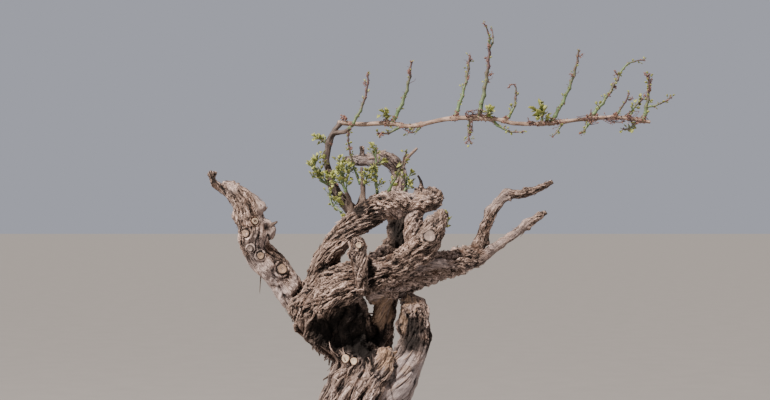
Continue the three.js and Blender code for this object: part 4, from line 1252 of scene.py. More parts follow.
def loose_strip(forms, tree, name, reach, width, chance):
    """One strip of loose bark on a limb, lying flat or lifting at its upper or its lower end."""
    long = reach * chance.uniform(0.45, 1.5)
    start = chance.uniform(0.0, 1.0)
    turn = chance.uniform(-math.pi, math.pi)
    found = surface_path(tree, LIMBS[name], start, turn, long, chance.gauss(0, 0.12))
    if found is None or found[0][:, 2].min() < GROUND_GAP or in_dark_patch(found[0].mean(0)):
        return
    path, outs = found
    shares = np.linspace(0, 1, len(path))
    loose = chance.random()
    lift = chance.uniform(-0.2, 0.9) * np.ones(len(path))
    most = 6.5 if name == "trunk" and 335 < path[:, 2].mean() < 420 else 3.8
    if loose < 0.4:
        lift += chance.uniform(0.8, most) * shares**2.0
    elif loose < 0.8:
        lift += chance.uniform(0.8, most) * (1 - shares) ** 2.0
    forms.add(*strip_points(path + outs * lift[:, None], outs, width * chance.uniform(0.35, 1.2), 0.9,
                            chance.uniform(0.25, 0.9), chance))


def rooted_shard(forms, tree, shard_facts, thick, depth, tone, chance):
    """A shred or a broken corner whose root lies below the nearest bark."""
    foot, way, width, length = shard_facts
    root = np.array(tree.find_nearest(Vector(foot))[0]) - depth * unit(way)
    shard(forms, root, way, width, thick, length, tone, chance)


class VINE_OT_bark_strips(bpy.types.Operator):
    """Hang loose strips and flakes of old bark on the trunk and the arms, along their grain"""

    bl_idname = "vine.bark_strips"
    bl_label = "Loose bark"

    def execute(self, context):
        tree = bark_surface()
        chance = random.Random(71)
        forms = SmallForms()
        for name, (density, reach, width) in LOOSE_BARK.items():
            limb = LIMBS[name]
            area = 2 * math.pi * float(np.mean(limb["girth"])) * length_of(limb)
            for _ in range(int(settings().strip_count * density * area / BARK_AREA)):
                loose_strip(forms, tree, name, reach, width, chance)
        shreds = list(SHREDS)
        for _ in range(70):
            share = chance.random()
            foot = (-104 + 62 * share, chance.uniform(-45, 20), 428 - 90 * share)
            way = (chance.gauss(-0.3, 0.4), chance.gauss(-0.1, 0.4), -0.8)
            shreds.append((foot, way, chance.uniform(2.5, 6), chance.uniform(5, 11)))
        # The shreds get a dark tone, partly as painted shade, since most hang under the head and the arms.
        for facts in shreds:
            rooted_shard(forms, tree, facts, 1.6, 1.5, chance.uniform(0, 0.2), chance)
        for facts in JAGS:
            _, _, width, length = facts
            rooted_shard(forms, tree, facts, 0.7 * width, 0.4 * length, chance.uniform(0.2, 0.8), chance)
        strips = forms.build("bark_strips", "strip")
        finish_piece(strips, [strip_finish()], smooth=False)
        return {"FINISHED"}


def cut_disc(centre, out, radius):
    """The face of a cut: a disc with a rounded edge, rings and a sunk middle."""
    deselect_all()
    bpy.ops.mesh.primitive_cylinder_add(vertices=28, radius=radius * MM, depth=3.0 * MM, location=(0, 0, 0))
    disc = bpy.context.object
    set_mode("EDIT")
    bpy.ops.mesh.select_all(action="DESELECT")
    set_mode("OBJECT")
    for face in disc.data.polygons:
        face.select = face.normal.z > 0.9
    set_mode("EDIT")
    for inset, lift in ((0.1, 0.04), (0.18, -0.02), (0.2, -0.05), (0.2, -0.03), (0.18, -0.06)):
        bpy.ops.mesh.inset(thickness=inset * radius * MM, depth=lift * radius * MM)
    set_mode("OBJECT")
    points = points_of(disc)
    ring = np.linalg.norm(points[:, :2], axis=1) / radius
    wave = 1 + 0.06 * np.sin(3 * np.arctan2(points[:, 1], points[:, 0]) + radius) * ring
    points[:, :2] *= wave[:, None]
    write_attribute(disc, "face", np.column_stack([points[:, :2] / radius, ring]))
    turned = np.array(Vector(out).to_track_quat("Z", "Y").to_matrix())
    move_points(disc, points @ turned.T + np.asarray(centre))
    return disc


class VINE_OT_cuts(bpy.types.Operator):
    """Face each pruning wound and sawn spur with its ringed wood"""

    bl_idname = "vine.cuts"
    bl_label = "Pruning cuts"

    def execute(self, context):
        look = settings()
        groups = {"fresh_cuts": [], "tan_cuts": [], "old_cuts": []}
        kinds = {"trunk": ["fresh_cuts"] * 2, "front_stub": ["fresh_cuts"], "front_arm": ["old_cuts"],
                 "left_arm": ["tan_cuts", "tan_cuts", "old_cuts", "tan_cuts", "fresh_cuts"]}
        proud = {"trunk": 0.3, "front_stub": 2.2}
        for name, faces in kinds.items():
            size = 0.98 if name == "trunk" else 0.86
            for kind, (at, turn, radius, stand) in zip(faces, LIMBS[name]["cuts"]):
                tip, out, _ = on_limb(LIMBS[name], at, turn, stand)
                groups[kind].append(cut_disc(tip + out * proud.get(name, -0.9), out, radius * size))
        ends = [("right_upper_spur", 0.9, "tan_cuts"), ("right_lower_spur", 0.92, "tan_cuts"),
                ("back_arm_top", 0.8, "old_cuts"), ("back_peg", 0.8, "old_cuts")]
        for name, size, kind in ends:
            middle, along, _, _, girth = rail(LIMBS[name], [1.0])
            centre = middle[0] + along[0] * 0.22 * girth[0]
            groups[kind].append(cut_disc(centre, along[0], girth[0] * size))
        cream, tan, pale, dark = look.wood_cream, look.wood_tan, look.bark_pale, look.bark_dark
        finishes = {
            "fresh_cuts": cut_finish("fresh_cut", cream, shade(cream, 0.8), tan, 30.0),
            "tan_cuts": cut_finish("tan_cut", cream, tan, dark, 22.0),
            "old_cuts": cut_finish("old_cut", pale, shade(pale, 0.45), dark, 26.0),
        }
        for name, discs in groups.items():
            finish_piece(join_pieces(name, discs), [finishes[name]])
        return {"FINISHED"}


def scatter(chance, size):
    """A random step, spread alike in every direction."""
    return np.array([chance.gauss(0, 1) for _ in range(3)]) * size


def shard(forms, foot, direction, width, thick, length, tone, chance):
    """A split of torn wood: a long flat wedge with a jagged tip."""
    direction = unit(direction)
    side = unit(np.cross(direction, scatter(chance, 1.0)))
    face = np.cross(direction, side)
    points, marks = [], []
    rows = 5
    for row in range(rows):
        share = row / (rows - 1)
        half = 0.5 * width * (1 - 0.55 * share) * chance.uniform(0.8, 1.2)
        deep = 0.5 * thick * (1 - 0.6 * share)
        middle = foot + direction * length * share + side * chance.gauss(0, 0.08) * width
        for a, b in ((-1, -1), (1, -1), (1, 1), (-1, 1)):
            jag = direction * chance.uniform(-0.16, 0.16) * length * (share == 1)
            points.append(middle + side * half * a + face * deep * b + jag)
            marks.append((share, tone, (a + 1) / 2 + 0.2 * b))
    forms.add(points, tube_faces(rows, 4), marks)


# Broken ends: their limb, and their shards' number, length and width.
BROKEN_ENDS = [
    ("side_stub", 26, 13, 8), ("cleft_stub", 18, 10, 7), ("left_spur", 6, 6, 3),
    ("arch_top", 12, 8, 6), ("front_arm", 10, 9, 6),
]

# Torn faces: their limb, where they start and end on it, their middle turn and its spread, and their
# splinters' number, length and width.
TORN_FACES = [
    ("middle_stem", 0.35, 0.85, 0.0, 0.8, 14, 20, 4), ("cleft_stub", 0.35, 0.9, 0.0, 1.0, 16, 11, 5),
    ("side_stub", 0.74, 0.93, -0.7, 1.0, 18, 12, 7),
]


class VINE_OT_broken_wood(bpy.types.Operator):
    """Split the broken ends and the torn faces into tan shards of heartwood"""

    bl_idname = "vine.broken_wood"
    bl_label = "Broken wood"

    def execute(self, context):
        chance = random.Random(29)
        tree = bark_surface()
        forms = SmallForms()
        for name, count, long, wide in BROKEN_ENDS:
            middle, along, front, side, girth = rail(LIMBS[name], [0.97])
            for _ in range(count):
                angle = chance.uniform(-math.pi, math.pi)
                radius = girth[0] * math.sqrt(chance.uniform(0.05, 0.8))
                foot = middle[0] + front[0] * radius * math.cos(angle) + side[0] * radius * math.sin(angle)
                foot = foot - along[0] * long * 0.6
                lean = along[0] + scatter(chance, 0.3)
                shard(forms, foot, lean, wide * chance.uniform(0.5, 1.2), 3.5,
                      long * chance.uniform(0.7, 1.3), chance.uniform(0.05, 0.8), chance)
        for name, low, high, centre, spread, count, long, wide in TORN_FACES:
            for _ in range(count):
                turn = centre + chance.gauss(0, 0.5) * spread
                start, reach = chance.uniform(low, high), long * chance.uniform(0.5, 1.1)
                found = surface_path(tree, LIMBS[name], start, turn, reach, 0.1, 6)
                if found is None:
                    continue
                path, outs = found
                lift = chance.uniform(-0.6, 1.2)
                forms.add(*strip_points(path + outs * lift, outs, wide * chance.uniform(0.5, 1.2), 2.0,
                                        chance.uniform(0.1, 0.8), chance))
        shards = forms.build("broken_wood", "strip")
        finish_piece(shards, [splinter_finish()], smooth=False)
        return {"FINISHED"}


# Young wood and shoots.


def cane_nodes(name):
    """Where shoots leave a cane, as places from 0 to 1."""
    limb = CANES[name]
    shares = np.linspace(0, 1, 400)
    line = spline(limb["line"], shares)
    found = []
    for facts in SPRAYS.values():
        apart = np.linalg.norm(line - np.array(facts["root"]), axis=1)
        if apart.min() < 12:
            found.append(float(shares[apart.argmin()]))
    return sorted(found)


class VINE_OT_cane(bpy.types.Operator):
    """Grow the long cane, the arm that carries it and the small spurs, with a swelling at each bud"""

    bl_idname = "vine.cane"
    bl_label = "Cane"

    def execute(self, context):
        tubes = []
        for index, (name, limb) in enumerate(CANES.items()):
            length = length_of(limb)
            buds = cane_nodes(name)
            girth = float(np.mean(limb["girth"]))

            def relief(shares, angles, limb=limb, length=length, buds=buds, girth=girth, index=index):
                run = shares * length
                place = np.stack([girth * np.cos(angles), girth * np.sin(angles), run], axis=1)
                swell = sum(hump(run - bud * length, 5.0) for bud in buds) if buds else 0
                ridges = noise(place, (2.2, 2.2, 40), 300 + index)
                lumps = noise(place, (9, 9, 16), 320 + index)
                rough = 0.05 + 0.06 * limb["age"]
                swell = 0.28 * np.minimum(swell, 1.2) * (1 - 0.6 * limb["age"])
                return girth * (swell - 0.12 + rough * ridges + (0.09 + 0.08 * limb["age"]) * lumps)

            tube = limb_tube(name, limb, 18 if girth > 5 else 14, 2.5, relief=relief)
            places = points_of(tube)
            fine = np.linspace(0, 1, 500)
            line = spline(limb["line"], fine)
            nearest = np.linalg.norm(places[:, None] - line[None], axis=2).argmin(axis=1)
            middle, _, front, side, _ = rail(limb, fine[nearest])
            away = places - middle
            grain = np.stack([(away * front).sum(1), (away * side).sum(1), fine[nearest] * length], axis=1)
            write_attribute(tube, "grain", grain * MM)
            write_attribute(tube, "age", np.full(len(places), limb["age"]))
            tubes.append(tube)
        cane = join_pieces("cane_wood", tubes)
        finish_piece(cane, [cane_finish()], list(CANES))
        return {"FINISHED"}


class Stem:
    """A bowed stem: a line that leaves its foot, passes beside its middle and ends at its tip."""

    def __init__(self, foot, reach, bow):
        self.foot = np.asarray(foot, float)
        self.tip = self.foot + np.asarray(reach, float)
        self.pull = self.foot + 0.5 * np.asarray(reach, float) + 2 * np.asarray(bow, float)

    def at(self, share):
        share = np.asarray(share, float)[..., None]
        return (1 - share) ** 2 * self.foot + 2 * (1 - share) * share * self.pull + share**2 * self.tip

    def along(self, share):
        low, high = max(share - 1e-4, 0), min(share + 1e-4, 1)
        return unit(self.at(high) - self.at(low))

    def length(self):
        return float(np.linalg.norm(np.diff(self.at(np.linspace(0, 1, 60)), axis=0), axis=1).sum())


def slant_from(along, turn, slant):
    """A direction that leaves a stem at a slant, turned round it."""
    front, side = across(along)
    out = front * math.cos(turn) + side * math.sin(turn)
    return along * math.cos(slant) + out * math.sin(slant)


def seeded(seed):
    """The solids' own row of random numbers from 0 to 1."""
    state = seed * 7919
    while True:
        state = (state * 16807) % 2147483647
        yield state / 2147483647


def limb_points():
    """Points along every limb with the limb's girth there, which leaves keep clear of."""
    middles, girths = [], []
    for limb in [*LIMBS.values(), *CANES.values()]:
        count = math.ceil(length_of(limb) / 8)
        middle, _, _, _, girth = rail(limb, np.arange(count + 1) / count)
        middles.append(middle)
        girths.append(girth)
    return np.vstack(middles), np.concatenate(girths)


LIMB_MIDDLES, LIMB_GIRTHS = limb_points()


def touches_limb(point, room):
    """Whether a point comes nearer to a limb's bark than the room that it needs."""
    return bool(np.any(np.linalg.norm(LIMB_MIDDLES - point, axis=1) < 1.1 * LIMB_GIRTHS + room))


def grow_spray(facts):
    """The stems and leaves of a spray by the solids' seeded rule: stems with their girth and order, and
    leaves as foot, direction and length."""
    chance = seeded(facts["seed"])
    main = Stem(facts["root"], facts["reach"], facts["bow"])
    stems, leaves = [(main, facts["girth"], 0)], []

    def add_leaves(stem, count, leaf, first, slant_start):
        for j in range(count):
            share = first + (1 - first) * ((j + 1) / count)
            turn = GOLDEN_TURN * j + 2 * next(chance)
            slant = slant_start + 0.5 * next(chance)
            length = leaf * (0.75 + 0.5 * next(chance))
            out = unit(slant_from(stem.along(share), turn, slant) + 0.25 * UP)
            foot = stem.at(share - 0.02)
            if not touches_limb(foot + out * length, 1.5):
                leaves.append((foot, out, length))

    twigs = facts.get("twigs", 0)
    for i in range(twigs):
        share = 0.15 + 0.85 * (i + 0.5) / twigs
        turn = GOLDEN_TURN * i + 1.5 * next(chance)
        slant = 0.8 + 0.4 * next(chance)
        length = facts["twig_length"] * (0.7 + 0.5 * next(chance)) * (1 - 0.35 * share)
        out = unit(slant_from(main.along(share), turn, slant) + 0.3 * UP)
        twig = Stem(main.at(share), out * length, (0, 0, 0.06 * length))
        if touches_limb(twig.at(1.0), 2) or touches_limb(twig.at(0.6), 1.5):
            continue
        stems.append((twig, 0.6 * facts["girth"], 1))
        add_leaves(twig, facts["leaves"], facts["leaf"], 0.2, 0.6)
    if not twigs:
        add_leaves(main, facts["leaves"], facts["leaf"], 0.12, 0.7)
    for at, reach, bow, girth, count, leaf in facts.get("forks", ()):
        fork = Stem(main.at(at), reach, bow)
        stems.append((fork, girth, 0))
        add_leaves(fork, count, leaf, 0.12, 0.7)
    return stems, leaves


GROWN = {name: grow_spray(facts) for name, facts in SPRAYS.items()}

# Half a leaf's outline, from its stalk to its tip, for a leaf of length one: lobed, and young and oval.
LOBED_EDGE = [(0.1, -0.12), (0.3, -0.1), (0.42, 0.08), (0.33, 0.2), (0.5, 0.36), (0.5, 0.5), (0.33, 0.55),
              (0.3, 0.74), (0.14, 0.8)]
OVAL_EDGE = [(0.07, 0.02), (0.18, 0.12), (0.27, 0.24), (0.33, 0.37), (0.37, 0.5), (0.36, 0.63),
             (0.31, 0.75), (0.22, 0.86), (0.11, 0.95)]


def leaf_form(foot, out, length, right, fold, cup, chance):
    """A leaf with two faces, folded along its midrib and cupped: points, faces and marks."""
    width = unit(np.cross(out, UP) + 1e-6)
    face = np.cross(width, out)
    if face[2] < 0:
        width, face = -width, -face
    tilt = chance.uniform(-1.1, 1.1)
    level, steep = math.cos(tilt), math.sin(tilt)
    width, face = width * level + face * steep, face * level - width * steep
    ribs = [(0.0, 0.0), (0.0, 0.33), (0.0, 0.66), (0.0, 1.0)]
    flat = ribs + right + [(-x, y) for x, y in right]
    count = len(right)
    points, marks = [], []
    for index, (x, y) in enumerate(flat):
        x = x * chance.uniform(0.93, 1.07)
        rise = fold * abs(x) + cup * (x * x + 0.6 * (y - 0.5) ** 2)
        wave = 0.05 * math.sin(9 * y + 7 * x)
        points.append(foot + (width * x + out * y + face * (rise + wave)) * length)
        edge = 0.0 if index < 3 else 1.0
        marks.append((min(1.0, abs(x) * 2), edge, y))
    fans = [(0, 4, 5, 6, 7), (0, 7, 8, 1), (1, 8, 9, 10), (1, 10, 11, 2), (2, 11, 12, 3)]
    top = []
    for fan in fans:
        top += [(fan[0], fan[k], fan[k + 1]) for k in range(1, len(fan) - 1)]
    mirrored = [tuple(i + count if i >= 4 else i for i in reversed(triangle)) for triangle in top]
    top = top + mirrored
    total = len(flat)
    thick = face * 0.035 * length
    lower = [p - thick for p in points]
    outline = [0, *range(4, 4 + count), 3, *reversed(range(4 + count, total))]
    rim = [(here, last, last + total, here + total) for here, last in zip(outline, [outline[-1], *outline])]
    faces = top + [tuple(i + total for i in reversed(triangle)) for triangle in top] + rim
    return points + lower, faces, marks + marks


# The withered end of one shoot, bent over like a hook.
HOOK = [(295, 19, 824), (297, 19, 834), (293, 18, 841), (287, 17, 840), (283, 16, 835)]


class VINE_OT_shoots(bpy.types.Operator):
    """Grow the green shoots and twigs on from the cane and the arch, with a small swelling at each joint"""

    bl_idname = "vine.shoots"
    bl_label = "Shoots"

    def execute(self, context):
        forms = SmallForms()
        for name, (stems, _) in GROWN.items():
            ripe = (0.1, 1.1) if SPRAYS[name]["tint"] == 2 else (0.0, 0.8)
            if "twigs" in SPRAYS[name]:
                ripe = (0.3, 0.2)
            for stem, girth, order in stems:
                line, radii = stem_line(stem, girth, order)
                forms.tube(line, radii, 8 if order == 0 else 6, *ripe)
        hook = spline(HOOK, np.linspace(0, 1, 20))
        forms.tube(hook, np.linspace(1.5, 0.9, 20), 6, 0.5, 1)
        stems = forms.build("shoot_stems", "stem")
        finish_piece(stems, [shoot_finish()], list(SPRAYS))
        return {"FINISHED"}


def stem_line(stem, girth, order):
    """A stem's middle line, bent a little at each joint, and its radius along it."""
    steps = max(5, int(stem.length() / 2.2))
    shares = np.linspace(0, 1, steps + 1)
    run = shares * stem.length() / JOINT_GAPS[order]
    swell = 1 + 0.36 * np.cos(np.pi * run) ** 8
    radii = (1.12, 0.92)[order] * girth * (1 - 0.5 * shares) * swell
    zigzag = 2 * np.abs(2 * (run / 2 - np.floor(run / 2 + 0.5))) - 1
    sway = 0.35 * girth * zigzag * np.minimum(1, 6 * shares)
    _, side = across(unit(stem.tip - stem.foot))
    return stem.at(shares) + np.outer(sway, side), radii


class VINE_OT_leaves(bpy.types.Operator):
    """Unfold the small cupped leaves on their stalks, with finer ones between them"""

    bl_idname = "vine.leaves"
    bl_label = "Leaves"

    def execute(self, context):
        look = settings()
        chance = random.Random(17)
        forms, stalks = SmallForms(), SmallForms()
        for name, (_, leaves) in GROWN.items():
            facts = SPRAYS[name]
            spread, shrink = (1.0, 0.86) if "twigs" in facts else (0.65, 1.0)
            for foot, out, length in leaves:
                sprouts = [(foot, out, 0.72 * length)]
                for _ in range(3 if facts["seed"] > LOW_END else 1):
                    start = foot + out * length * chance.uniform(0, 0.3)
                    turned = unit(out + scatter(chance, 0.8) + 0.2 * UP)
                    sprouts.append((start, turned, length * chance.uniform(0.35, 0.75)))
                for start, way, size in sprouts:
                    size *= look.leaf_scale * shrink
                    base = start + way * size * spread * chance.uniform(0.5, 1.5)
                    if touches_limb(base + way * size * 0.8, 0.5):
                        continue
                    stalks.tube([start, 0.5 * (start + base) + UP * 0.03 * size, base + way * 0.1 * size],
                                [0.5, 0.4, 0.3], 4, 0.2, 0.5)
                    material = pick(chance, LEAF_SHARES[facts["tint"]])
                    edge = LOBED_EDGE if size > 9 else OVAL_EDGE
                    fold, cup = chance.uniform(0.1, 0.9), chance.uniform(-0.4, 1.1)
                    points, faces, marks = leaf_form(base, way, size * 0.85, edge, fold, cup, chance)
                    forms.add(points, faces, marks, material)
        blades = forms.build("leaves", "blade")
        colours = (look.leaf_green, look.leaf_yellow, look.leaf_bronze, look.withered)
        names = ("leaf_green", "leaf_yellow", "leaf_bronze", "leaf_withered")
        finish_piece(blades, [leaf_finish(n, c) for n, c in zip(names, colours)],
                     [n for n, f in SPRAYS.items() if "twigs" in f or f["leaf"] >= 9])
        stems = stalks.build("leaf_stalks", "stem")
        finish_piece(stems, [bpy.data.materials["shoot_skin"]])
        return {"FINISHED"}


# How likely a leaf is to be green, yellow, bronze or withered on a spray of each tint.
LEAF_SHARES = ((0.42, 0.36, 0.18, 0.04), (0.3, 0.34, 0.26, 0.1), (0.1, 0.2, 0.35, 0.35))


def pick(chance, shares):
    """The place of one of the shares, each as likely as it is large."""
    roll = chance.random()
    for index, share in enumerate(shares):
        roll -= share
        if roll < 0:
            return index
    return len(shares) - 1


def blob(forms, centre, radius, chance, stretch=1.0, way=UP, material=0):
    """A small uneven eight-faced bead, drawn out along a direction."""
    way = unit(way)
    front, side = across(way) if abs(way @ VIEWER) < 0.95 else (np.array([1.0, 0, 0]), UP)
    reach = [radius * chance.uniform(0.75, 1.25) for _ in range(6)]
    points = [centre + front * reach[0], centre + side * reach[1], centre - front * reach[2],
              centre - side * reach[3], centre + way * reach[4] * stretch,
              centre - way * reach[5] * stretch]
    faces = [(0, 1, 4), (1, 2, 4), (2, 3, 4), (3, 0, 4), (1, 0, 5), (2, 1, 5), (3, 2, 5), (0, 3, 5)]
    forms.add(points, faces, (0.0, 0.0, 0.0), material)


# Tangles of dried stems round the cane's joints: middle, reach along each axis and number.
TANGLES = [
    ((226, -4, 788), (34, 10, 9), 9), ((214, -4, 764), (5, 5, 20), 6), ((104, -3, 762), (14, 8, 9), 6),
    ((322, -1, 772), (14, 8, 10), 6), ((430, -2, 778), (22, 9, 11), 10), ((470, -4, 776), (20, 9, 10), 9),
    ((506, -4, 778), (22, 10, 13), 12), ((62, -4, 774), (9, 7, 7), 4), ((366, 0, 772), (12, 8, 8), 5),
]


def add_flowers(beads, wires, facts, main, chance):
    """The withered flower clusters of a spray, each a bowed stalk with twenty beads."""
    for k in range(facts["flowers"]):
        share = min(0.98, 0.4 + 0.6 * (k + 0.7) / facts["flowers"])
        way = unit(slant_from(main.along(share), GOLDEN_TURN * k + facts["seed"], 1.0))
        axis = Stem(main.at(share), way * chance.uniform(8, 13), (0, 0, -1.6))
        wires.tube(axis.at(np.linspace(0, 1, 5)), np.linspace(0.7, 0.4, 5), 4, 0.6, 1)
        for _ in range(20):
            along = chance.uniform(0.25, 1.0)
            blob(beads, axis.at(along) + scatter(chance, 1.9 * (1.2 - 0.5 * along)),
                 chance.uniform(0.8, 1.5), chance)


def add_joint_scales(beads, facts, stem, girth, order, chance):
    """Scales round each joint of a stem, and a withered tip where it is a shoot of the cane."""
    line, radii = stem_line(stem, girth, order)
    gap = JOINT_GAPS[order]
    count, size = ((3, 1.2), (1, 0.8))[order]
    for k in range(1, int(stem.length() / gap) + 1):
        row = min(len(line) - 1, round(k * gap / stem.length() * (len(line) - 1)))
        for _ in range(count):
            off = unit(scatter(chance, 1.0)) * radii[row]
            blob(beads, line[row] + off, chance.uniform(0.7, 1.3) * size, chance, chance.uniform(1.0, 2.2),
                 off + stem.along(0.5), 0 if chance.random() < 0.6 else 1)
    if order == 0 and facts["seed"] < LOW_END:
        for _ in range(9):
            blob(beads, line[-1] + scatter(chance, 1.3), chance.uniform(0.6, 1.2), chance, 1.5,
                 scatter(chance, 1.0))


def add_tendrils(wires, facts, main, chance):
    """Three tendrils along a tall shoot, curled in a screw towards their ends."""
    for k in range(3):
        share = 0.45 + 0.2 * k
        way = unit(slant_from(main.along(share), 2.1 * k + facts["seed"], 0.8))
        front, side = across(way)
        turns = np.linspace(0, 1, 26)
        curl = 4.0 * np.clip(turns - 0.5, 0, 1)
        path = main.at(share) + np.outer(turns * chance.uniform(10, 17), way)
        path = path + np.outer(curl * np.cos(11 * turns), front) + np.outer(curl * np.sin(11 * turns), side)
        wires.tube(path, np.linspace(0.5, 0.3, len(turns)), 4, 0.8, 1)


def add_cane_buds(beads, chance):
    """Bud scales round the joints of the cane and of its arm."""
    for name, size in (("cane", 1.0), ("cane_arm", 0.8)):
        for share in cane_nodes(name):
            for _ in range(16):
                turn = chance.uniform(-180, 180)
                tip, out, _ = on_limb(CANES[name], min(0.995, share + chance.gauss(0, 0.006)), turn, 0.2)
                blob(beads, tip, size * chance.uniform(0.9, 2.1), chance, chance.uniform(1.0, 2.0),
                     out + 0.8 * scatter(chance, 1.0), 1 if chance.random() < 0.9 else 0)


def add_burrs(beads, chance):
    """A burr of bud scales round the foot of each of the cane's sprays."""
    for name, (stems, _) in GROWN.items():
        if SPRAYS[name]["seed"] >= CANE_END:
            continue
        main = stems[0][0]
        burr = 1.0 if SPRAYS[name]["seed"] < UPRIGHT_END else 0.7
        for _ in range(int(34 * burr)):
            share = min(0.5, chance.uniform(2.5, 10.5) * burr / main.length())
            off = unit(scatter(chance, 1.0)) * burr * chance.uniform(1.8, 4.6)
            size = burr * chance.uniform(1.1, 2.2)
            blob(beads, main.at(share) + off, size, chance, 1.6, off + main.along(0.1), 1)


def add_tangles(beads, wires, chance):
    """The tangles of dried stems, each stem starting on the cane and hung with beads."""
    cane_line = spline(CANES["cane"]["line"], np.linspace(0, 1, 300))
    for middle, reach, count in TANGLES:
        for _ in range(count):
            ends = [np.array(middle) + scatter(chance, 0.45) * reach for _ in range(3)]
            start = cane_line[np.abs(cane_line[:, 0] - ends[0][0] - chance.gauss(0, 6)).argmin()]
            path = spline([start, *ends], np.linspace(0, 1, 14))
            wires.tube(path, np.linspace(0.8, 0.45, 14), 5, chance.uniform(0.3, 1.0), 1)
            for row in (5, 9, 13):
                blob(beads, path[row] + scatter(chance, 0.6), chance.uniform(0.8, 1.6), chance,
                     chance.uniform(1.0, 2.2), scatter(chance, 1.0), 0 if chance.random() < 0.55 else 1)


# The bud at the bend between the cane and its arm.
BEND_BUD = np.array([-14.0, -9.0, 779.5])


class VINE_OT_clusters(bpy.types.Operator):
    """Add the withered flower clusters, the scales at the joints, the cane's buds and the curled tendrils"""

    bl_idname = "vine.clusters"
    bl_label = "Clusters and tendrils"

    def execute(self, context):
        chance = random.Random(43)
        beads, wires = SmallForms(), SmallForms()
        for name, (stems, _) in GROWN.items():
            facts = SPRAYS[name]
            main = stems[0][0]
            add_flowers(beads, wires, facts, main, chance)
            for stem, girth, order in stems:
                add_joint_scales(beads, facts, stem, girth, order, chance)
            if facts["seed"] < LOW_END and facts["reach"][2] > 50:
                add_tendrils(wires, facts, main, chance)
        add_cane_buds(beads, chance)
        add_burrs(beads, chance)
        add_tangles(beads, wires, chance)
        for at in (0.45, 0.75, 1.0):
            for _ in range(7):
                place = spline(HOOK, [at])[0] + scatter(chance, 1.4)
                blob(beads, place, chance.uniform(0.7, 1.3), chance, 1.5)
        for _ in range(34):
            place = BEND_BUD + scatter(chance, 1.0) * (3.2, 2.6, 2.4)
            blob(beads, place, chance.uniform(1.0, 2.0), chance, 1.3, UP, 1)
        clusters = beads.build("flower_clusters", "stem")
        look = settings()
        finishes = [withered_finish("withered", look.withered), withered_finish("bud_scales", look.scales)]
        finish_piece(clusters, finishes, smooth=False)
        tendrils = wires.build("tendrils", "stem")
        finish_piece(tendrils, [bpy.data.materials["shoot_skin"]])
        return {"FINISHED"}


# What the lights point at and where the camera stands, in metres, and its lens and sensor in millimetres.
LIT_MIDDLE = (0.1, 0, 0.5)
CAMERA_PLACE = (0.0594, -3.2, 0.632)
CAMERA_LENS = 83.1
CAMERA_SENSOR = 36


def add_light(name, kind, place, size, power, colour):
    """A square soft light, or one with parallel rays whose size is an angle."""
    light = bpy.data.lights.new(name, kind)
    light.energy, light.color = power, colour
    if kind == "SUN":
        light.angle = size
    else:
        light.shape, light.size = "SQUARE", size
    lamp = bpy.data.objects.new(name, light)
    bpy.context.scene.collection.objects.link(lamp)
    lamp.location = place
    lamp.rotation_euler = (Vector(LIT_MIDDLE) - Vector(place)).to_track_quat("-Z", "Y").to_euler()


class VINE_OT_stage(bpy.types.Operator):
    """Set the pale floor, the soft studio light and the camera"""

    bl_idname = "vine.stage"
    bl_label = "Stage"

    def execute(self, context):
        look = settings()
        deselect_all()
        bpy.ops.mesh.primitive_plane_add(size=60, location=(0, 0, -0.0005))
        floor = context.object
        floor.name = floor.data.name = "floor"
        set_mode("EDIT")
        bpy.ops.mesh.subdivide(number_cuts=8)
        set_mode("OBJECT")
        finish = Finish("floor", Roughness=0.9)
        grit = finish.noise(finish.place(), 9.0, 4.0, 0.6)
        finish.colour(finish.ramp(grit, [(0.3, shade(look.floor_colour, 0.94)), (0.7, look.floor_colour)]))
        floor.data.materials.append(finish.material)
        power = look.key_power
        add_light("key", "SUN", (-1.45, -2.65, 4.9), math.radians(2), power, (1.0, 0.91, 0.83))
        add_light("side", "AREA", (-3.0, -0.75, 1.4), 1.8, 19.0 * power, (1.0, 0.94, 0.89))
        add_light("fill", "AREA", (1.6, -2.4, 0.5), 1.0, 2.8 * power, (1.0, 0.97, 0.95))
        world = bpy.data.worlds.new("sky")
        world.use_nodes = True
        tree = world.node_tree
        ambient, output = tree.nodes["Background"], tree.nodes["World Output"]
        ambient.inputs["Color"].default_value = (*look.sky_colour, 1.0)
        backdrop = tree.nodes.new("ShaderNodeBackground")
        backdrop.inputs["Color"].default_value = (*look.backdrop_colour, 1.0)
        seen, mixed = tree.nodes.new("ShaderNodeLightPath"), tree.nodes.new("ShaderNodeMixShader")
        tree.links.new(seen.outputs["Is Camera Ray"], mixed.inputs[0])
        tree.links.new(ambient.outputs[0], mixed.inputs[1])
        tree.links.new(backdrop.outputs[0], mixed.inputs[2])
        tree.links.new(mixed.outputs[0], output.inputs["Surface"])
        context.scene.world = world
        camera = bpy.data.cameras.new("camera")
        camera.sensor_width = CAMERA_SENSOR
        camera.lens = CAMERA_LENS
        eye = bpy.data.objects.new("camera", camera)
        context.scene.collection.objects.link(eye)
        eye.location = CAMERA_PLACE
        eye.rotation_euler = (math.radians(90), 0, 0)
        context.scene.camera = eye
        return {"FINISHED"}


def colour_property(name, description, default):
    return FloatVectorProperty(name=name, description=description, default=default, subtype="COLOR", min=0,
                               max=1)


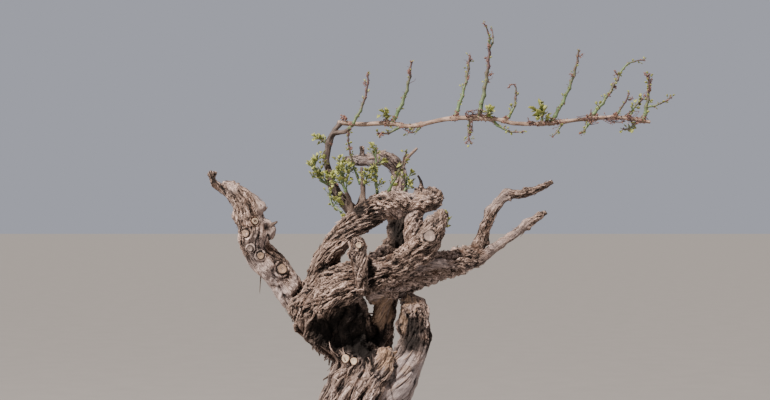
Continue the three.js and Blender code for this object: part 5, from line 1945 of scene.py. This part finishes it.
class GrapevineSettings(bpy.types.PropertyGroup):
    """Sizes and colours of the vine"""

    bark_grid: FloatProperty(name="Bark grid", description="Spacing of the points of the bark's relief",
                             default=0.0014, unit="LENGTH")
    strip_count: IntProperty(name="Bark strips", description="Strips tried on a whole vine", default=3000,
                             min=0)
    leaf_scale: FloatProperty(name="Leaf scale", description="Size against the solids' leaves", default=1.2)
    # The dark bark colour also serves as painted shade in the cracks and the dark patches, and the pale one,
    # named for bleached edges and tops, as a painted highlight on the lips of the scales.
    bark_dark: colour_property("Bark, dark", "Furrows and undersides", (0.015, 0.0102, 0.0082))
    bark_mid: colour_property("Bark, middle", "Plates of old bark", (0.215, 0.148, 0.118))
    bark_pale: colour_property("Bark, pale", "Bleached edges and tops", (0.54, 0.4, 0.345))
    bark_grey: colour_property("Bark, grey", "Weathered wood", (0.42, 0.345, 0.335))
    bark_rust: colour_property("Bark, rust", "Warm stains", (0.24, 0.125, 0.075))
    wood_cream: colour_property("Fresh cut", "Newly sawn wood", (0.56, 0.44, 0.32))
    wood_tan: colour_property("Old cut", "Dry and broken wood", (0.36, 0.235, 0.16))
    cane_brown: colour_property("Cane", "Bark of the cane", (0.16, 0.098, 0.068))
    cane_pale: colour_property("Cane, pale", "Bleached fibres of the cane", (0.46, 0.33, 0.26))
    shoot_green: colour_property("Shoot", "Young green stems", (0.1, 0.15, 0.06))
    shoot_purple: colour_property("Shoot, ripe", "Ripened tips", (0.085, 0.043, 0.04))
    leaf_green: colour_property("Leaf, green", "Fresh leaves", (0.21, 0.235, 0.055))
    leaf_yellow: colour_property("Leaf, yellow", "Pale leaves", (0.44, 0.41, 0.1))
    leaf_bronze: colour_property("Leaf, bronze", "Bronzed leaves", (0.24, 0.155, 0.06))
    withered: colour_property("Withered", "Dried flowers", (0.19, 0.095, 0.072))
    scales: colour_property("Bud scales", "Scales at the joints of the cane", (0.5, 0.35, 0.27))
    floor_colour: colour_property("Floor", "The pale floor", (0.2, 0.19, 0.182))
    sky_colour: colour_property("Ambient light", "Soft light from all round", (0.175, 0.178, 0.2))
    backdrop_colour: colour_property("Backdrop", "The pale backdrop", (0.38, 0.39, 0.45))
    key_power: FloatProperty(name="Key light", description="Strength of the main light", default=8.2, min=0)


OPERATORS = (VINE_OT_wood, VINE_OT_bark_strips, VINE_OT_cuts, VINE_OT_broken_wood, VINE_OT_cane,
             VINE_OT_shoots, VINE_OT_leaves, VINE_OT_clusters, VINE_OT_stage)


class VINE_PT_panel(bpy.types.Panel):
    """The vine's pieces, in the order in which they are made"""

    bl_label = "Grapevine"
    bl_idname = "VINE_PT_panel"
    bl_space_type = "VIEW_3D"
    bl_region_type = "UI"
    bl_category = "Grapevine"

    def draw(self, context):
        for operator in OPERATORS:
            self.layout.operator(operator.bl_idname)
        for name in GrapevineSettings.__annotations__:
            self.layout.prop(context.scene.grapevine, name)


def register():
    for part in (GrapevineSettings, *OPERATORS, VINE_PT_panel):
        bpy.utils.register_class(part)
    bpy.types.Scene.grapevine = PointerProperty(type=GrapevineSettings)


def unregister():
    del bpy.types.Scene.grapevine
    for part in reversed((GrapevineSettings, *OPERATORS, VINE_PT_panel)):
        bpy.utils.unregister_class(part)


def main():
    """Makes every piece and the stage."""
    register()
    bpy.ops.vine.wood()
    bpy.ops.vine.bark_strips()
    bpy.ops.vine.cuts()
    bpy.ops.vine.broken_wood()
    bpy.ops.vine.cane()
    bpy.ops.vine.shoots()
    bpy.ops.vine.leaves()
    bpy.ops.vine.clusters()
    bpy.ops.vine.stage()
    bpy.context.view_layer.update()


if __name__ == "__main__":
    main()
